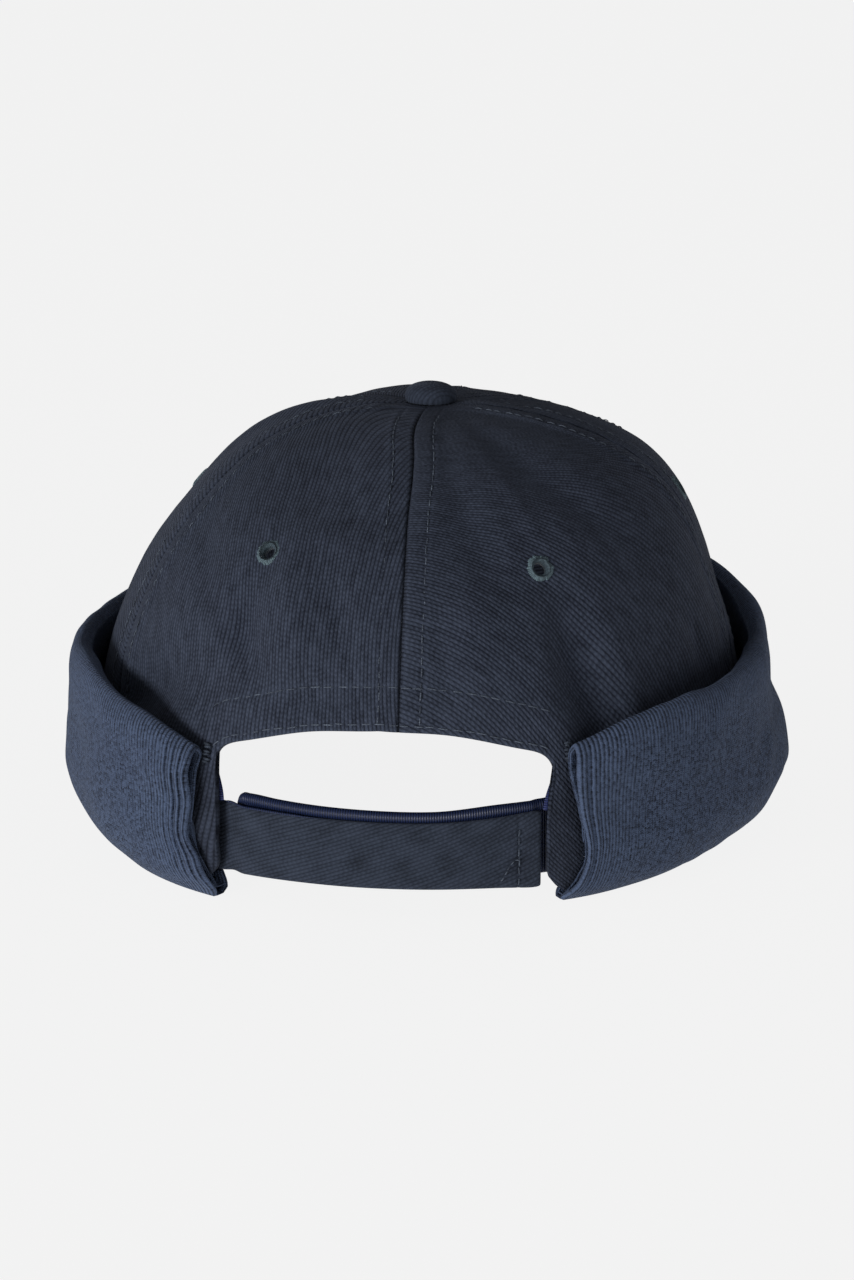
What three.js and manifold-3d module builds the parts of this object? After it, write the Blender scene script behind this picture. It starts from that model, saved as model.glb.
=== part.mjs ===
// Sailor cap: a brimless six-panel cloth crown with a turned-up, rolled cuff, an arched opening at the
// back, a closing strap across it, a covered button on top and an embroidered eyelet in each panel.
// Millimetres, +Z up. The back of the cap faces -Y and the floor is z = 0. Angles are measured round
// the cap from the back: 90 is the right side of the back view (+X), 180 the front, 270 the left.
import * as THREE from 'three';
import { mergeVertices } from 'three/addons/utils/BufferGeometryUtils.js';
import Module from 'manifold-3d';

const wasm = await Module();
wasm.setup();

// Driving sizes
const CROWN_HALF_WIDTH = 89.2;
const CROWN_HALF_DEPTH = 98.4;
const CROWN_HEIGHT = 113;
const CROWN_LEAN = -2.8;
const APEX_LEAN = 3.8;
const CROWN_FOOT = 3.4;
const CLOTH = 1.4;
const GAP = 0.3;
const TUCK = 5;
const TUCK_HEIGHT = 18;
const PANEL_PUFF = 1;
const FOLD_DEPTH = 4;
const APEX_HOLE = 3.2;
const ARCH_HALF_ANGLE = 27.2;
const ARCH_HEIGHT = 48.6;
const CUFF_HEIGHT = 52;
const CUFF_BULGE = 10;
const CUFF_TREAD = 2.5;
const CUFF_LIFT = 1.6;
const CUFF_CLOTH = 3;
const CUFF_LEFT_TAB = 1.6;
const CUFF_RIGHT_TAB = 3.1;
const RIM_ROLL = 6.6;
const RIM_ROOM = 5;
const LEAF_RISE = 3;
const LEAF_CLOTH = 1.5;
const STRAP_CLEAR = 1;
const STRAP_WIDTH = 18.8;
const STRAP_SET = 1.1;
const STRAP_CLOTH = 1.8;
const BINDING_WIDTH = 7.7;
const BINDING_SHOW = 0.7;
const BINDING_CLOTH = 1;
const EYELET_SIZE = 7;
const THREAD_RISE = 0.5;
const BUTTON_SIZE = 14;
const BUTTON_RISE = 5;
const SHANK_PLAY = 1;
const PLATE = 1.4;
const TACK_SIZE = 1.6;
const TACK_LENGTH = 3.4;

const rad = THREE.MathUtils.degToRad;

// Crown form at four angles. The shoulder is the power of the height share and the roundness that
// of the radius share; low numbers give a cone-like side, high ones a full side.
const CROWN_FORM = [
  { angle: 0, shoulder: 2.7, roundness: 2.5 },
  { angle: 90, shoulder: 2.3, roundness: 3.4 },
  { angle: 180, shoulder: 3.1, roundness: 2.4 },
  { angle: 270, shoulder: 1.85, roundness: 2.85 },
];

// Seams: where each seam stands, in degrees, at a share of the crown's height.
const SEAMS = [
  { height: 0.0, back: 3, right: 82, front_right: 130, front: 180, front_left: 238, left: 299 },
  { height: 0.4, back: 3, right: 83, front_right: 130, front: 180, front_left: 238, left: 299 },
  { height: 0.7, back: 2.6, right: 85, front_right: 130, front: 180, front_left: 238, left: 299 },
  { height: 0.85, back: 1.8, right: 82, front_right: 128, front: 180, front_left: 236, left: 297.5 },
  { height: 0.95, back: 0.5, right: 74, front_right: 124, front: 180, front_left: 236, left: 291 },
  { height: 1.0, back: -5, right: 70, front_right: 122, front: 180, front_left: 236, left: 288 },
];

// Panels: the seams at both edges, how far the cloth stands out between them as a share of the
// panel puff, and the eyelet's angle and height share.
const PANELS = [
  { name: 'crown_back_right', from: 'back', to: 'right', puff: 1.0, eyelet: 29.1, height: 0.75 },
  { name: 'crown_side_right', from: 'right', to: 'front_right', puff: 0.5, eyelet: 92, height: 0.8 },
  { name: 'crown_front_right', from: 'front_right', to: 'front', puff: 0.5, eyelet: 155, height: 0.78 },
  { name: 'crown_front_left', from: 'front', to: 'front_left', puff: 1.0, eyelet: 209, height: 0.78 },
  { name: 'crown_side_left', from: 'front_left', to: 'left', puff: 1.0, eyelet: 256, height: 0.77 },
  { name: 'crown_back_left', from: 'left', to: 'back', puff: 0.8, eyelet: 334.2, height: 0.756 },
];

// Folds and dents of the crown: middle angle, height share, lean from upright in degrees, half
// length and half width as shares of the crown's height, depth as a share of the fold depth. A
// negative depth is a ridge.
const FOLDS = [
  { angle: 35, height: 0.5, lean: -14, length: 0.23, width: 0.062, depth: 1 },
  { angle: 43, height: 0.44, lean: -20, length: 0.18, width: 0.053, depth: -0.3 },
  { angle: 24, height: 0.7, lean: 35, length: 0.115, width: 0.08, depth: 0.5 },
  { angle: 42, height: 0.86, lean: -58, length: 0.23, width: 0.053, depth: 0.4 },
  { angle: 333, height: 0.62, lean: 8, length: 0.21, width: 0.053, depth: 0.4 },
  { angle: 343, height: 0.58, lean: 6, length: 0.195, width: 0.053, depth: -0.25 },
  { angle: 352, height: 0.49, lean: 70, length: 0.23, width: 0.053, depth: 0.2 },
  { angle: 312, height: 0.42, lean: 66, length: 0.21, width: 0.07, depth: 1 },
  { angle: 60, height: 0.42, lean: -80, length: 0.195, width: 0.062, depth: 0.5 },
  { angle: 100, height: 0.55, lean: 0, length: 0.195, width: 0.08, depth: 0.4 },
  { angle: 160, height: 0.6, lean: 0, length: 0.23, width: 0.09, depth: 0.5 },
  { angle: 200, height: 0.66, lean: 10, length: 0.21, width: 0.09, depth: 0.4 },
  { angle: 262, height: 0.9, lean: 0, length: 0.106, width: 0.106, depth: -0.35 },
  { angle: 128, height: 0.96, lean: 0, length: 0.06, width: 0.34, depth: 0.5 },
  { angle: 226, height: 0.97, lean: 0, length: 0.05, width: 0.2, depth: 0.4 },
  { angle: 266, height: 0.79, lean: 0, length: 0.11, width: 0.2, depth: 0.35 },
  { angle: 88, height: 0.64, lean: 0, length: 0.12, width: 0.15, depth: 0.4 },
  { angle: 336, height: 0.57, lean: -35, length: 0.12, width: 0.05, depth: 0.7 },
  { angle: 342, height: 0.69, lean: -31, length: 0.15, width: 0.035, depth: -0.25 },
  { angle: 352, height: 0.65, lean: -26, length: 0.07, width: 0.03, depth: 0.3 },
  { angle: 355, height: 0.68, lean: -22, length: 0.1, width: 0.03, depth: -0.2 },
  { angle: 340, height: 0.88, lean: -79, length: 0.25, width: 0.07, depth: 0.5 },
  { angle: 346, height: 0.81, lean: -84, length: 0.2, width: 0.04, depth: -0.3 },
  { angle: 16, height: 0.82, lean: -29, length: 0.15, width: 0.06, depth: 0.4 },
  { angle: 28, height: 0.85, lean: -35, length: 0.09, width: 0.03, depth: -0.2 },
  { angle: 20, height: 0.69, lean: -88, length: 0.12, width: 0.05, depth: -0.3 },
  { angle: 10, height: 0.58, lean: -5, length: 0.08, width: 0.03, depth: 0.25 },
  { angle: 330, height: 0.56, lean: -49, length: 0.08, width: 0.04, depth: -0.25 },
  { angle: 316, height: 0.73, lean: -66, length: 0.14, width: 0.05, depth: 0.35 },
  { angle: 349, height: 0.49, lean: 89, length: 0.1, width: 0.03, depth: 0.25 },
  { angle: 65, height: 0.51, lean: -30, length: 0.08, width: 0.04, depth: 0.3 },
  { angle: 32, height: 0.53, lean: -22, length: 0.08, width: 0.05, depth: 0.4 },
];

// Arched opening, from its crown to one foot: share of the half angle, share of the height.
const ARCH = [
  { way: 0, angle: 0, height: 1 },
  { way: 0.3, angle: 0.4, height: 0.975 },
  { way: 0.6, angle: 0.8, height: 0.885 },
  { way: 0.7, angle: 0.93, height: 0.845 },
  { way: 0.77, angle: 0.99, height: 0.79 },
  { way: 0.82, angle: 1, height: 0.72 },
  { way: 0.88, angle: 0.965, height: 0.56 },
  { way: 0.94, angle: 0.955, height: 0.34 },
  { way: 1, angle: 0.955, height: 0.07 },
];

// Cuff, as shares of its run from its left end round the front to its right end. room is the space
// between the crown and the rolled rim, height the rim's top, bulge the greatest stand-out of the
// outer face and middle its height, foot how far inside the crown's foot line the resting strip
// ends, and lift how far the strip's end rises off the floor, each a share of its named size.
const CUFF = [
  { run: 0, room: 0.16, height: 0.79, bulge: 0.5, middle: 0.38, foot: 1, lift: 0 },
  { run: 0.024, room: 0.6, height: 0.87, bulge: 0.64, middle: 0.38, foot: 1, lift: 0 },
  { run: 0.057, room: 0.96, height: 0.94, bulge: 0.72, middle: 0.38, foot: 1.15, lift: 0 },
  { run: 0.11, room: 1.1, height: 1.0, bulge: 0.62, middle: 0.38, foot: 1.7, lift: 0 },
  { run: 0.203, room: 0.58, height: 0.985, bulge: 0.67, middle: 0.38, foot: 1.5, lift: 0 },
  { run: 0.32, room: 0.78, height: 0.95, bulge: 0.74, middle: 0.38, foot: 0.8, lift: 0 },
  { run: 0.5, room: 0.7, height: 1.04, bulge: 0.9, middle: 0.36, foot: 0.8, lift: 0 },
  { run: 0.669, room: 0.82, height: 1.12, bulge: 1.1, middle: 0.34, foot: 0.8, lift: 0 },
  { run: 0.775, room: 0.58, height: 1.02, bulge: 1.23, middle: 0.33, foot: 1.2, lift: 0 },
  { run: 0.8515, room: 0.84, height: 1.0, bulge: 1.02, middle: 0.34, foot: 1.7, lift: 0 },
  { run: 0.908, room: 1.1, height: 1.0, bulge: 0.8, middle: 0.36, foot: 1.7, lift: 0.1 },
  { run: 0.9545, room: 0.8, height: 0.97, bulge: 0.68, middle: 0.38, foot: 1.5, lift: 0.5 },
  { run: 0.981, room: 0.5, height: 0.91, bulge: 0.58, middle: 0.38, foot: 1.2, lift: 0.75 },
  { run: 1, room: 0.2, height: 0.85, bulge: 0.5, middle: 0.38, foot: 1, lift: 1 },
];

// Straps: share of the opening's half angle, how far they lie in from the crown's foot line as a
// share of the strap set, drop of the lower edge and rise of the upper one above the strap's foot
// line as shares of the strap's width.
const STRAP_OUTER = [
  { angle: -1.21, set: 1.6, drop: 0.02, rise: 0.96 },
  { angle: -0.99, set: 1.6, drop: 0.02, rise: 0.96 },
  { angle: -0.88, set: 1.6, drop: -0.02, rise: 0.97 },
  { angle: -0.66, set: 1.3, drop: -0.04, rise: 0.98 },
  { angle: -0.3, set: 1, drop: -0.05, rise: 0.97 },
  { angle: 0.3, set: 1, drop: -0.03, rise: 0.95 },
  { angle: 0.66, set: 1, drop: 0, rise: 0.98 },
  { angle: 0.926, set: 1.1, drop: 0.06, rise: 1.03 },
];
const STRAP_INNER = [
  { angle: -0.893, set: 1.9, drop: -0.3, rise: 0.95 },
  { angle: -0.857, set: 1.8, drop: -0.2, rise: 1.1 },
  { angle: -0.77, set: 1.6, drop: -0.16, rise: 1.14 },
  { angle: -0.59, set: 1.3, drop: -0.16, rise: 1.12 },
  { angle: -0.3, set: 1, drop: -0.16, rise: 1.1 },
  { angle: 0.3, set: 1, drop: -0.14, rise: 1.07 },
  { angle: 0.66, set: 1, drop: -0.1, rise: 1.12 },
  { angle: 0.956, set: 1.1, drop: -0.09, rise: 1.13 },
  { angle: 1.25, set: 1.2, drop: -0.08, rise: 1.15 },
];

// Materials: colour, roughness.
const CLOTHS = {
  twill: { color: 0x30353f, roughness: 0.95 },
  knit: { color: 0x2c3650, roughness: 0.95 },
  tape: { color: 0x1d2748, roughness: 0.5 },
  binding: { color: 0x2a3060, roughness: 0.6 },
  thread: { color: 0x5b6f79, roughness: 0.8 },
};

// Smooth curve through a table's rows: a cubic piece between neighbours, its slope at a row taken
// from the rows on both sides.
function ease(table, key, x, column) {
  const last = table.length - 1;
  const at = Math.min(Math.max(x, table[0][key]), table[last][key]);
  let i = 0;
  while (i < last - 1 && at > table[i + 1][key]) i += 1;
  const slope = (j) => {
    const low = table[Math.max(j - 1, 0)];
    const high = table[Math.min(j + 1, last)];
    return (high[column] - low[column]) / (high[key] - low[key]);
  };
  const width = table[i + 1][key] - table[i][key];
  const s = (at - table[i][key]) / width;
  const start = (2 * s ** 3 - 3 * s ** 2 + 1) * table[i][column]
    + (s ** 3 - 2 * s ** 2 + s) * width * slope(i);
  const end = (3 * s ** 2 - 2 * s ** 3) * table[i + 1][column]
    + (s ** 3 - s ** 2) * width * slope(i + 1);
  return start + end;
}

// Straight lines between a table's rows.
function straight(table, key, x, column) {
  const last = table.length - 1;
  const at = Math.min(Math.max(x, table[0][key]), table[last][key]);
  let i = 0;
  while (i < last - 1 && at > table[i + 1][key]) i += 1;
  const s = (at - table[i][key]) / (table[i + 1][key] - table[i][key]);
  return table[i][column] * (1 - s) + table[i + 1][column] * s;
}

// Foot line of the crown seen from above: an ellipse by angle.
function footRadius(angle) {
  const a = rad(angle);
  return 1 / Math.hypot(Math.sin(a) / CROWN_HALF_WIDTH, Math.cos(a) / CROWN_HALF_DEPTH);
}

// Mixes the crown form's four rows by the squares of sine and cosine.
function formAt(angle, column) {
  const a = rad(angle);
  const across = Math.sin(a) >= 0 ? CROWN_FORM[1] : CROWN_FORM[3];
  const along = Math.cos(a) >= 0 ? CROWN_FORM[0] : CROWN_FORM[2];
  return across[column] * Math.sin(a) ** 2 + along[column] * Math.cos(a) ** 2;
}

// Smooth crown without folds: (r / foot radius) ^ roundness + (z / height) ^ shoulder = 1, with climb
// running from 0 at the floor to 90 degrees at the apex, and the lowest part tucked in.
function smoothCrown(angle, climb) {
  const a = rad(angle);
  const c = rad(climb);
  const height = CROWN_HEIGHT * Math.max(Math.sin(c), 0) ** (2 / formAt(angle, 'shoulder'));
  const share = Math.max(Math.cos(c), 0) ** (2 / formAt(angle, 'roundness'));
  const tuck = TUCK * Math.max(1 - height / TUCK_HEIGHT, 0) ** 2;
  const radius = footRadius(angle) * share - tuck;
  const lean = CROWN_LEAN + APEX_LEAN * (height / CROWN_HEIGHT) ** 3;
  return new THREE.Vector3(radius * Math.sin(a) + lean, -radius * Math.cos(a), height);
}

// Outward direction of the smooth crown, from two short steps over it.
function crownNormal(angle, climb) {
  const step = 0.5;
  const lowest = 0.2;
  const top = Math.min(climb + step, 90 - step);
  const low = Math.max(top - 2 * step, lowest);
  const up = smoothCrown(angle, top).sub(smoothCrown(angle, low));
  const round = smoothCrown(angle + step, low).sub(smoothCrown(angle - step, low));
  return round.cross(up).normalize();
}

// Climb at a height, and the climb where the crown meets the small hole at its apex.
function climbAtHeight(angle, height) {
  const share = Math.min(Math.max(height / CROWN_HEIGHT, 0), 1);
  return THREE.MathUtils.radToDeg(Math.asin(share ** (formAt(angle, 'shoulder') / 2)));
}

function climbAtApex(angle) {
  const share = APEX_HOLE / footRadius(angle);
  return THREE.MathUtils.radToDeg(Math.acos(share ** (formAt(angle, 'roundness') / 2)));
}

// Depth of all folds at a place on the crown, each an oval dent leaning from upright.
function foldDepth(angle, height) {
  let depth = 0;
  for (const fold of FOLDS) {
    let turn = angle - fold.angle;
    turn -= 360 * Math.round(turn / 360);
    const across = rad(turn) * CROWN_HALF_WIDTH / CROWN_HEIGHT;
    const rise = height / CROWN_HEIGHT - fold.height;
    const lean = rad(fold.lean);
    const along = rise * Math.cos(lean) + across * Math.sin(lean);
    const side = across * Math.cos(lean) - rise * Math.sin(lean);
    depth += FOLD_DEPTH * fold.depth * Math.exp(-((along / fold.length) ** 2) - (side / fold.width) ** 2);
  }
  return depth;
}

// Seam angle at a height, with the seams numbered on past a full turn.
function seamAngle(seam, height) {
  return ease(SEAMS, 'height', height / CROWN_HEIGHT, seam);
}

// A panel's span at a height: its two seams, the second always the greater.
function panelSpan(panel, height) {
  const from = seamAngle(panel.from, height);
  const to = seamAngle(panel.to, height);
  return [from, to > from ? to : to + 360];
}

// How far a panel's cloth stands out: a low arch between its seams, fading to the foot and apex.
// The fades are shares of the crown's height, and a low fullness gives an arch with a broad back.
function puffAt(panel, angle, height) {
  const footFade = 0.5;
  const apexFade = 0.02;
  const apexEnd = 1.002;
  const fullness = 0.7;
  const [from, to] = panelSpan(panel, height);
  const turned = angle < from - 1 ? angle + 360 : angle;
  const share = Math.min(Math.max((turned - from) / (to - from), 0), 1);
  const rise = height / CROWN_HEIGHT;
  const fade = Math.min(rise / footFade, 1) * Math.min(Math.max((apexEnd - rise) / apexFade, 0), 1);
  return PANEL_PUFF * panel.puff * Math.sin(Math.PI * share) ** fullness * fade;
}

// A point of a panel: the smooth crown moved out by the puff, in by the folds and by depth. The
// folds fade out above the cuff's fold, at a share of the crown's height, and just below the apex.
function crownPoint(panel, angle, climb, depth) {
  const base = smoothCrown(angle, climb);
  const foldStart = 0.27 * CROWN_HEIGHT;
  const foldBlend = 0.12 * CROWN_HEIGHT;
  const apexBlend = 3;
  const low = Math.min(Math.max((base.z - foldStart) / foldBlend, 0), 1);
  const high = Math.min(Math.max((CROWN_HEIGHT - base.z) / apexBlend, 0), 1);
  const fade = high * low * low * (3 - 2 * low);
  const out = puffAt(panel, angle, base.z) - foldDepth(angle, base.z) * fade;
  return base.addScaledVector(crownNormal(angle, climb), out - depth);
}

// The arched opening's edge: way runs from -1 at the left foot over 0 to 1 at the right foot.
function archEdge(way) {
  const far = Math.abs(way);
  return {
    angle: Math.sign(way) * ARCH_HALF_ANGLE * straight(ARCH, 'way', far, 'angle'),
    height: ARCH_HEIGHT * straight(ARCH, 'way', far, 'height'),
  };
}

// Turns a list of points and triangles into an indexed geometry with shared corners.
function solid(points, triangles) {
  const geometry = new THREE.BufferGeometry();
  const flat = points.flatMap((p) => [p.x, p.y, p.z]);
  geometry.setAttribute('position', new THREE.Float32BufferAttribute(flat, 3));
  geometry.setIndex(triangles);
  const merged = mergeVertices(geometry, 1e-4);
  merged.computeVertexNormals();
  return merged;
}

// Closed shell between an outer and an inner grid of points, both given as columns.
function shell(outer, inner) {
  const columns = outer.length;
  const rows = outer[0].length;
  const points = [...outer.flat(), ...inner.flat()];
  const at = (i, j, side) => side * columns * rows + i * rows + j;
  const triangles = [];
  const quad = (a, b, c, d) => {
    const straightSplit = points[a].distanceTo(points[c]) <= points[b].distanceTo(points[d]);
    triangles.push(...(straightSplit ? [a, b, c, a, c, d] : [a, b, d, b, c, d]));
  };
  for (let i = 0; i < columns - 1; i += 1) {
    for (let j = 0; j < rows - 1; j += 1) {
      quad(at(i, j, 0), at(i + 1, j, 0), at(i + 1, j + 1, 0), at(i, j + 1, 0));
      quad(at(i, j, 1), at(i, j + 1, 1), at(i + 1, j + 1, 1), at(i + 1, j, 1));
    }
    quad(at(i, 0, 1), at(i + 1, 0, 1), at(i + 1, 0, 0), at(i, 0, 0));
    quad(at(i, rows - 1, 0), at(i + 1, rows - 1, 0), at(i + 1, rows - 1, 1), at(i, rows - 1, 1));
  }
  const end = columns - 1;
  for (let j = 0; j < rows - 1; j += 1) {
    quad(at(0, j, 0), at(0, j + 1, 0), at(0, j + 1, 1), at(0, j, 1));
    quad(at(end, j, 0), at(end, j, 1), at(end, j + 1, 1), at(end, j + 1, 0));
  }
  return solid(points, triangles);
}

// Closed bar through a row of closed cross-sections, its two ends capped flat.
function loft(sections) {
  const count = sections[0].length;
  const points = sections.flat();
  const triangles = [];
  for (let i = 0; i < sections.length - 1; i += 1) {
    for (let j = 0; j < count; j += 1) {
      const a = i * count + j;
      const b = i * count + ((j + 1) % count);
      triangles.push(a, b, b + count, a, b + count, a + count);
    }
  }
  const side = solid(points, triangles);
  const turn = insideOut(side) ? -1 : 1;
  const caps = [
    ...endCap(sections[0], sections[1], 0),
    ...endCap(sections[sections.length - 1], sections[sections.length - 2], points.length - count),
  ];
  const whole = turn < 0 ? triangles.map((_, k) => triangles[k - (k % 3) + [0, 2, 1][k % 3]]) : triangles;
  return solid(points, [...whole, ...caps]);
}

// Triangles over a flat cross-section, facing away from the next section along the bar.
function endCap(section, next, start) {
  const normal = new THREE.Vector3();
  section.forEach((p, i) => normal.add(p.clone().cross(section[(i + 1) % section.length])));
  normal.normalize();
  const u = section[1].clone().sub(section[0]).normalize();
  const v = normal.clone().cross(u);
  const flat = section.map((p) => new THREE.Vector2(p.dot(u), p.dot(v)));
  const centre = (row) => row.reduce((sum, p) => sum.add(p), new THREE.Vector3()).divideScalar(row.length);
  const away = centre(section).sub(centre(next)).dot(normal) > 0 ? 1 : -1;
  return THREE.ShapeUtils.triangulateShape(flat, []).flatMap(([a, b, c]) => {
    const ab = flat[b].clone().sub(flat[a]);
    const ac = flat[c].clone().sub(flat[a]);
    const forward = ab.cross(ac) * away > 0;
    return forward ? [start + a, start + b, start + c] : [start + a, start + c, start + b];
  });
}

// Signed volume test: true when the triangles face inwards.
function insideOut(geometry) {
  const position = geometry.getAttribute('position');
  const index = geometry.getIndex();
  const corner = (i) => new THREE.Vector3().fromBufferAttribute(position, index.getX(i));
  let volume = 0;
  for (let i = 0; i < index.count; i += 3) volume += corner(i).dot(corner(i + 1).cross(corner(i + 2)));
  return volume < 0;
}

// Cuts one closed geometry out of another.
function cut(geometry, tool) {
  const asSolid = (part) => {
    const bare = part.clone();
    bare.deleteAttribute('normal');
    bare.deleteAttribute('uv');
    const merged = mergeVertices(bare, 1e-4);
    const mesh = new wasm.Mesh({
      numProp: 3,
      vertProperties: new Float32Array(merged.getAttribute('position').array),
      triVerts: new Uint32Array(merged.getIndex().array),
    });
    return new wasm.Manifold(mesh);
  };
  const mesh = asSolid(geometry).subtract(asSolid(tool)).getMesh();
  const result = new THREE.BufferGeometry();
  result.setAttribute('position', new THREE.BufferAttribute(new Float32Array(mesh.vertProperties), 3));
  result.setIndex(new THREE.BufferAttribute(new Uint32Array(mesh.triVerts), 1));
  result.computeVertexNormals();
  return result;
}

// Columns of a panel, each with its starting height, its angle low down and the share of the panel
// where it stands high up. The back panels begin with columns that follow the arched opening's edge,
// and high up these spread out nearly evenly.
function panelColumns(panel) {
  const [from, to] = panelSpan(panel, 0);
  const columns = [];
  const isBackRight = panel.from === 'back';
  const isBackLeft = panel.to === 'back';
  if (!isBackRight && !isBackLeft) {
    const count = 9;
    for (let i = 0; i <= count; i += 1) {
      const share = i / count;
      columns.push({ share, low: from + (to - from) * share, foot: CROWN_FOOT });
    }
    return columns;
  }
  const side = isBackRight ? 1 : -1;
  const seam = isBackRight ? from : to - 360;
  const seamWay = 0.75;
  const start = seam / ARCH_HALF_ANGLE * side * seamWay;
  const archCount = 8;
  for (let i = 0; i <= archCount; i += 1) {
    const way = side * (start + (1 - start) * i / archCount);
    const { angle, height } = archEdge(way);
    columns.push({ low: i === 0 ? seam : angle, foot: Math.max(height, CROWN_FOOT) });
  }
  const end = isBackRight ? to : from - 360;
  const sideCount = isBackRight ? 6 : 4;
  const foot = archEdge(side).angle;
  const upright = 0.15;
  const spread = 0.85;
  for (let i = 1; i <= sideCount; i += 1) {
    columns.push({ low: foot + (end - foot) * i / sideCount, foot: CROWN_FOOT });
  }
  columns.forEach((column, i) => {
    const even = i / (columns.length - 1);
    const share = (column.low - seam) / (end - seam);
    column.share = upright * share + spread * even;
    if (side < 0) {
      column.share = 1 - column.share;
      column.low += 360;
    }
  });
  if (side < 0) columns.reverse();
  return columns;
}

// One crown panel: outer and inner face between the seams, from the foot or arch to the apex hole.
function panelShell(panel) {
  const columns = panelColumns(panel);
  const rows = 15;
  const crowding = 1.35;
  const turnEnd = 0.6;
  const turnPower = 1.2;
  const outer = [];
  const inner = [];
  columns.forEach((column, i) => {
    const outerColumn = [];
    const innerColumn = [];
    const first = i === 0;
    const last = i === columns.length - 1;
    for (let j = 0; j <= rows; j += 1) {
      const guess = column.low;
      const startClimb = climbAtHeight(guess, column.foot);
      const climb = startClimb + (climbAtApex(guess) - startClimb) * (j / rows) ** crowding;
      const height = smoothCrown(guess, climb).z;
      const [from, to] = panelSpan(panel, height);
      let angle = from + (to - from) * column.share;
      if (!first && !last) {
        const mix = Math.min(j / (rows * turnEnd), 1) ** turnPower;
        angle = column.low + (angle - column.low) * (mix * mix * (3 - 2 * mix));
      }
      const inwards = Math.cos(rad(climb)) ** (2 / formAt(angle, 'roundness'));
      const radius = Math.max(footRadius(angle) * inwards, 1);
      const gap = THREE.MathUtils.radToDeg(GAP / 2 / radius);
      if (first) angle += gap;
      if (last) angle -= gap;
      const own = j === rows ? climbAtApex(angle) : climbAtHeight(angle, height);
      const place = j === 0 ? climbAtHeight(angle, column.foot) : own;
      outerColumn.push(crownPoint(panel, angle, place, 0));
      innerColumn.push(crownPoint(panel, angle, place, CLOTH));
    }
    outer.push(outerColumn);
    inner.push(innerColumn);
  });
  return shell(outer, inner);
}

// Place and outward direction of a panel's eyelet on the outer face.
function eyeletPlace(panel) {
  const climb = climbAtHeight(panel.eyelet, panel.height * CROWN_HEIGHT);
  const point = crownPoint(panel, panel.eyelet, climb, CLOTH / 2);
  const step = (angle, rise) => crownPoint(panel, panel.eyelet + angle, climb + rise, CLOTH / 2);
  const round = step(1, 0).sub(step(-1, 0));
  const up = step(0, 1).sub(step(0, -1));
  return { point, normal: round.cross(up).normalize() };
}

// Turns and moves a lathe made round the y axis so that it stands on the crown at an eyelet.
function seated(geometry, panel) {
  const { point, normal } = eyeletPlace(panel);
  const turn = new THREE.Quaternion().setFromUnitVectors(new THREE.Vector3(0, 1, 0), normal);
  return geometry.applyQuaternion(turn).translate(point.x, point.y, point.z);
}

// Eyelet: a low, rounded ring of thread that stands a little proud on both faces.
function eyeletRing(panel) {
  const half = EYELET_SIZE / 2;
  const holeShare = 0.19;
  const hole = EYELET_SIZE * holeShare;
  const rise = CLOTH / 2 + THREAD_RISE;
  const profile = [
    [hole, -rise * 0.5], [hole * 1.5, -rise], [half * 0.8, -rise], [half, -rise * 0.4], [half, rise * 0.4],
    [half * 0.8, rise], [hole * 1.5, rise], [hole, rise * 0.5], [hole, -rise * 0.5],
  ];
  return seated(new THREE.LatheGeometry(profile.map(([x, y]) => new THREE.Vector2(x, y)), 12), panel);
}

function eyeletHole(panel) {
  const tool = new THREE.CylinderGeometry(EYELET_SIZE / 2 + GAP, EYELET_SIZE / 2 + GAP, CLOTH * 5, 12);
  return seated(tool, panel);
}

// Covered button: a low dome, a shank through the apex hole and a plain plate under the cloth.
function buttonLathe() {
  const half = BUTTON_SIZE / 2;
  const shank = APEX_HOLE - SHANK_PLAY;
  const top = CROWN_HEIGHT + GAP;
  const under = CROWN_HEIGHT - CLOTH - 3 * GAP;
  const profile = [
    [0, under - PLATE], [half * 0.75, under - PLATE], [half * 0.85, under - PLATE / 2],
    [half * 0.75, under], [shank, under], [shank, top], [half * 0.88, top],
    [half, top + BUTTON_RISE * 0.26], [half * 0.97, top + BUTTON_RISE * 0.5],
    [half * 0.82, top + BUTTON_RISE * 0.78], [half * 0.5, top + BUTTON_RISE * 0.95],
    [0, top + BUTTON_RISE],
  ];
  const geometry = new THREE.LatheGeometry(profile.map(([x, y]) => new THREE.Vector2(x, y)), 24);
  return geometry.rotateX(Math.PI / 2).translate(CROWN_LEAN + APEX_LEAN, 0, 0);
}

// Point at an angle, millimetres out from the crown's foot line, and a height.
function around(angle, out, height) {
  const a = rad(angle);
  const radius = footRadius(angle) + out;
  return new THREE.Vector3(radius * Math.sin(a) + CROWN_LEAN, -radius * Math.cos(a), height);
}

// The panel that covers an angle at a height, with the angle counted the way its seams are.
function panelAt(angle, height) {
  for (const panel of PANELS) {
    const [from, to] = panelSpan(panel, height);
    for (const turned of [angle - 360, angle, angle + 360]) {
      if (turned >= from && turned <= to) return { panel, turned };
    }
  }
  return { panel: PANELS[0], turned: angle };
}

// How far the crown's outer face lies out from its foot line at an angle and height.
function crownOut(angle, height) {
  const { panel, turned } = panelAt(angle, height);
  const base = smoothCrown(angle, climbAtHeight(angle, height));
  return Math.hypot(base.x - CROWN_LEAN, base.y) - footRadius(angle) + puffAt(panel, turned, height);
}

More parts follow.
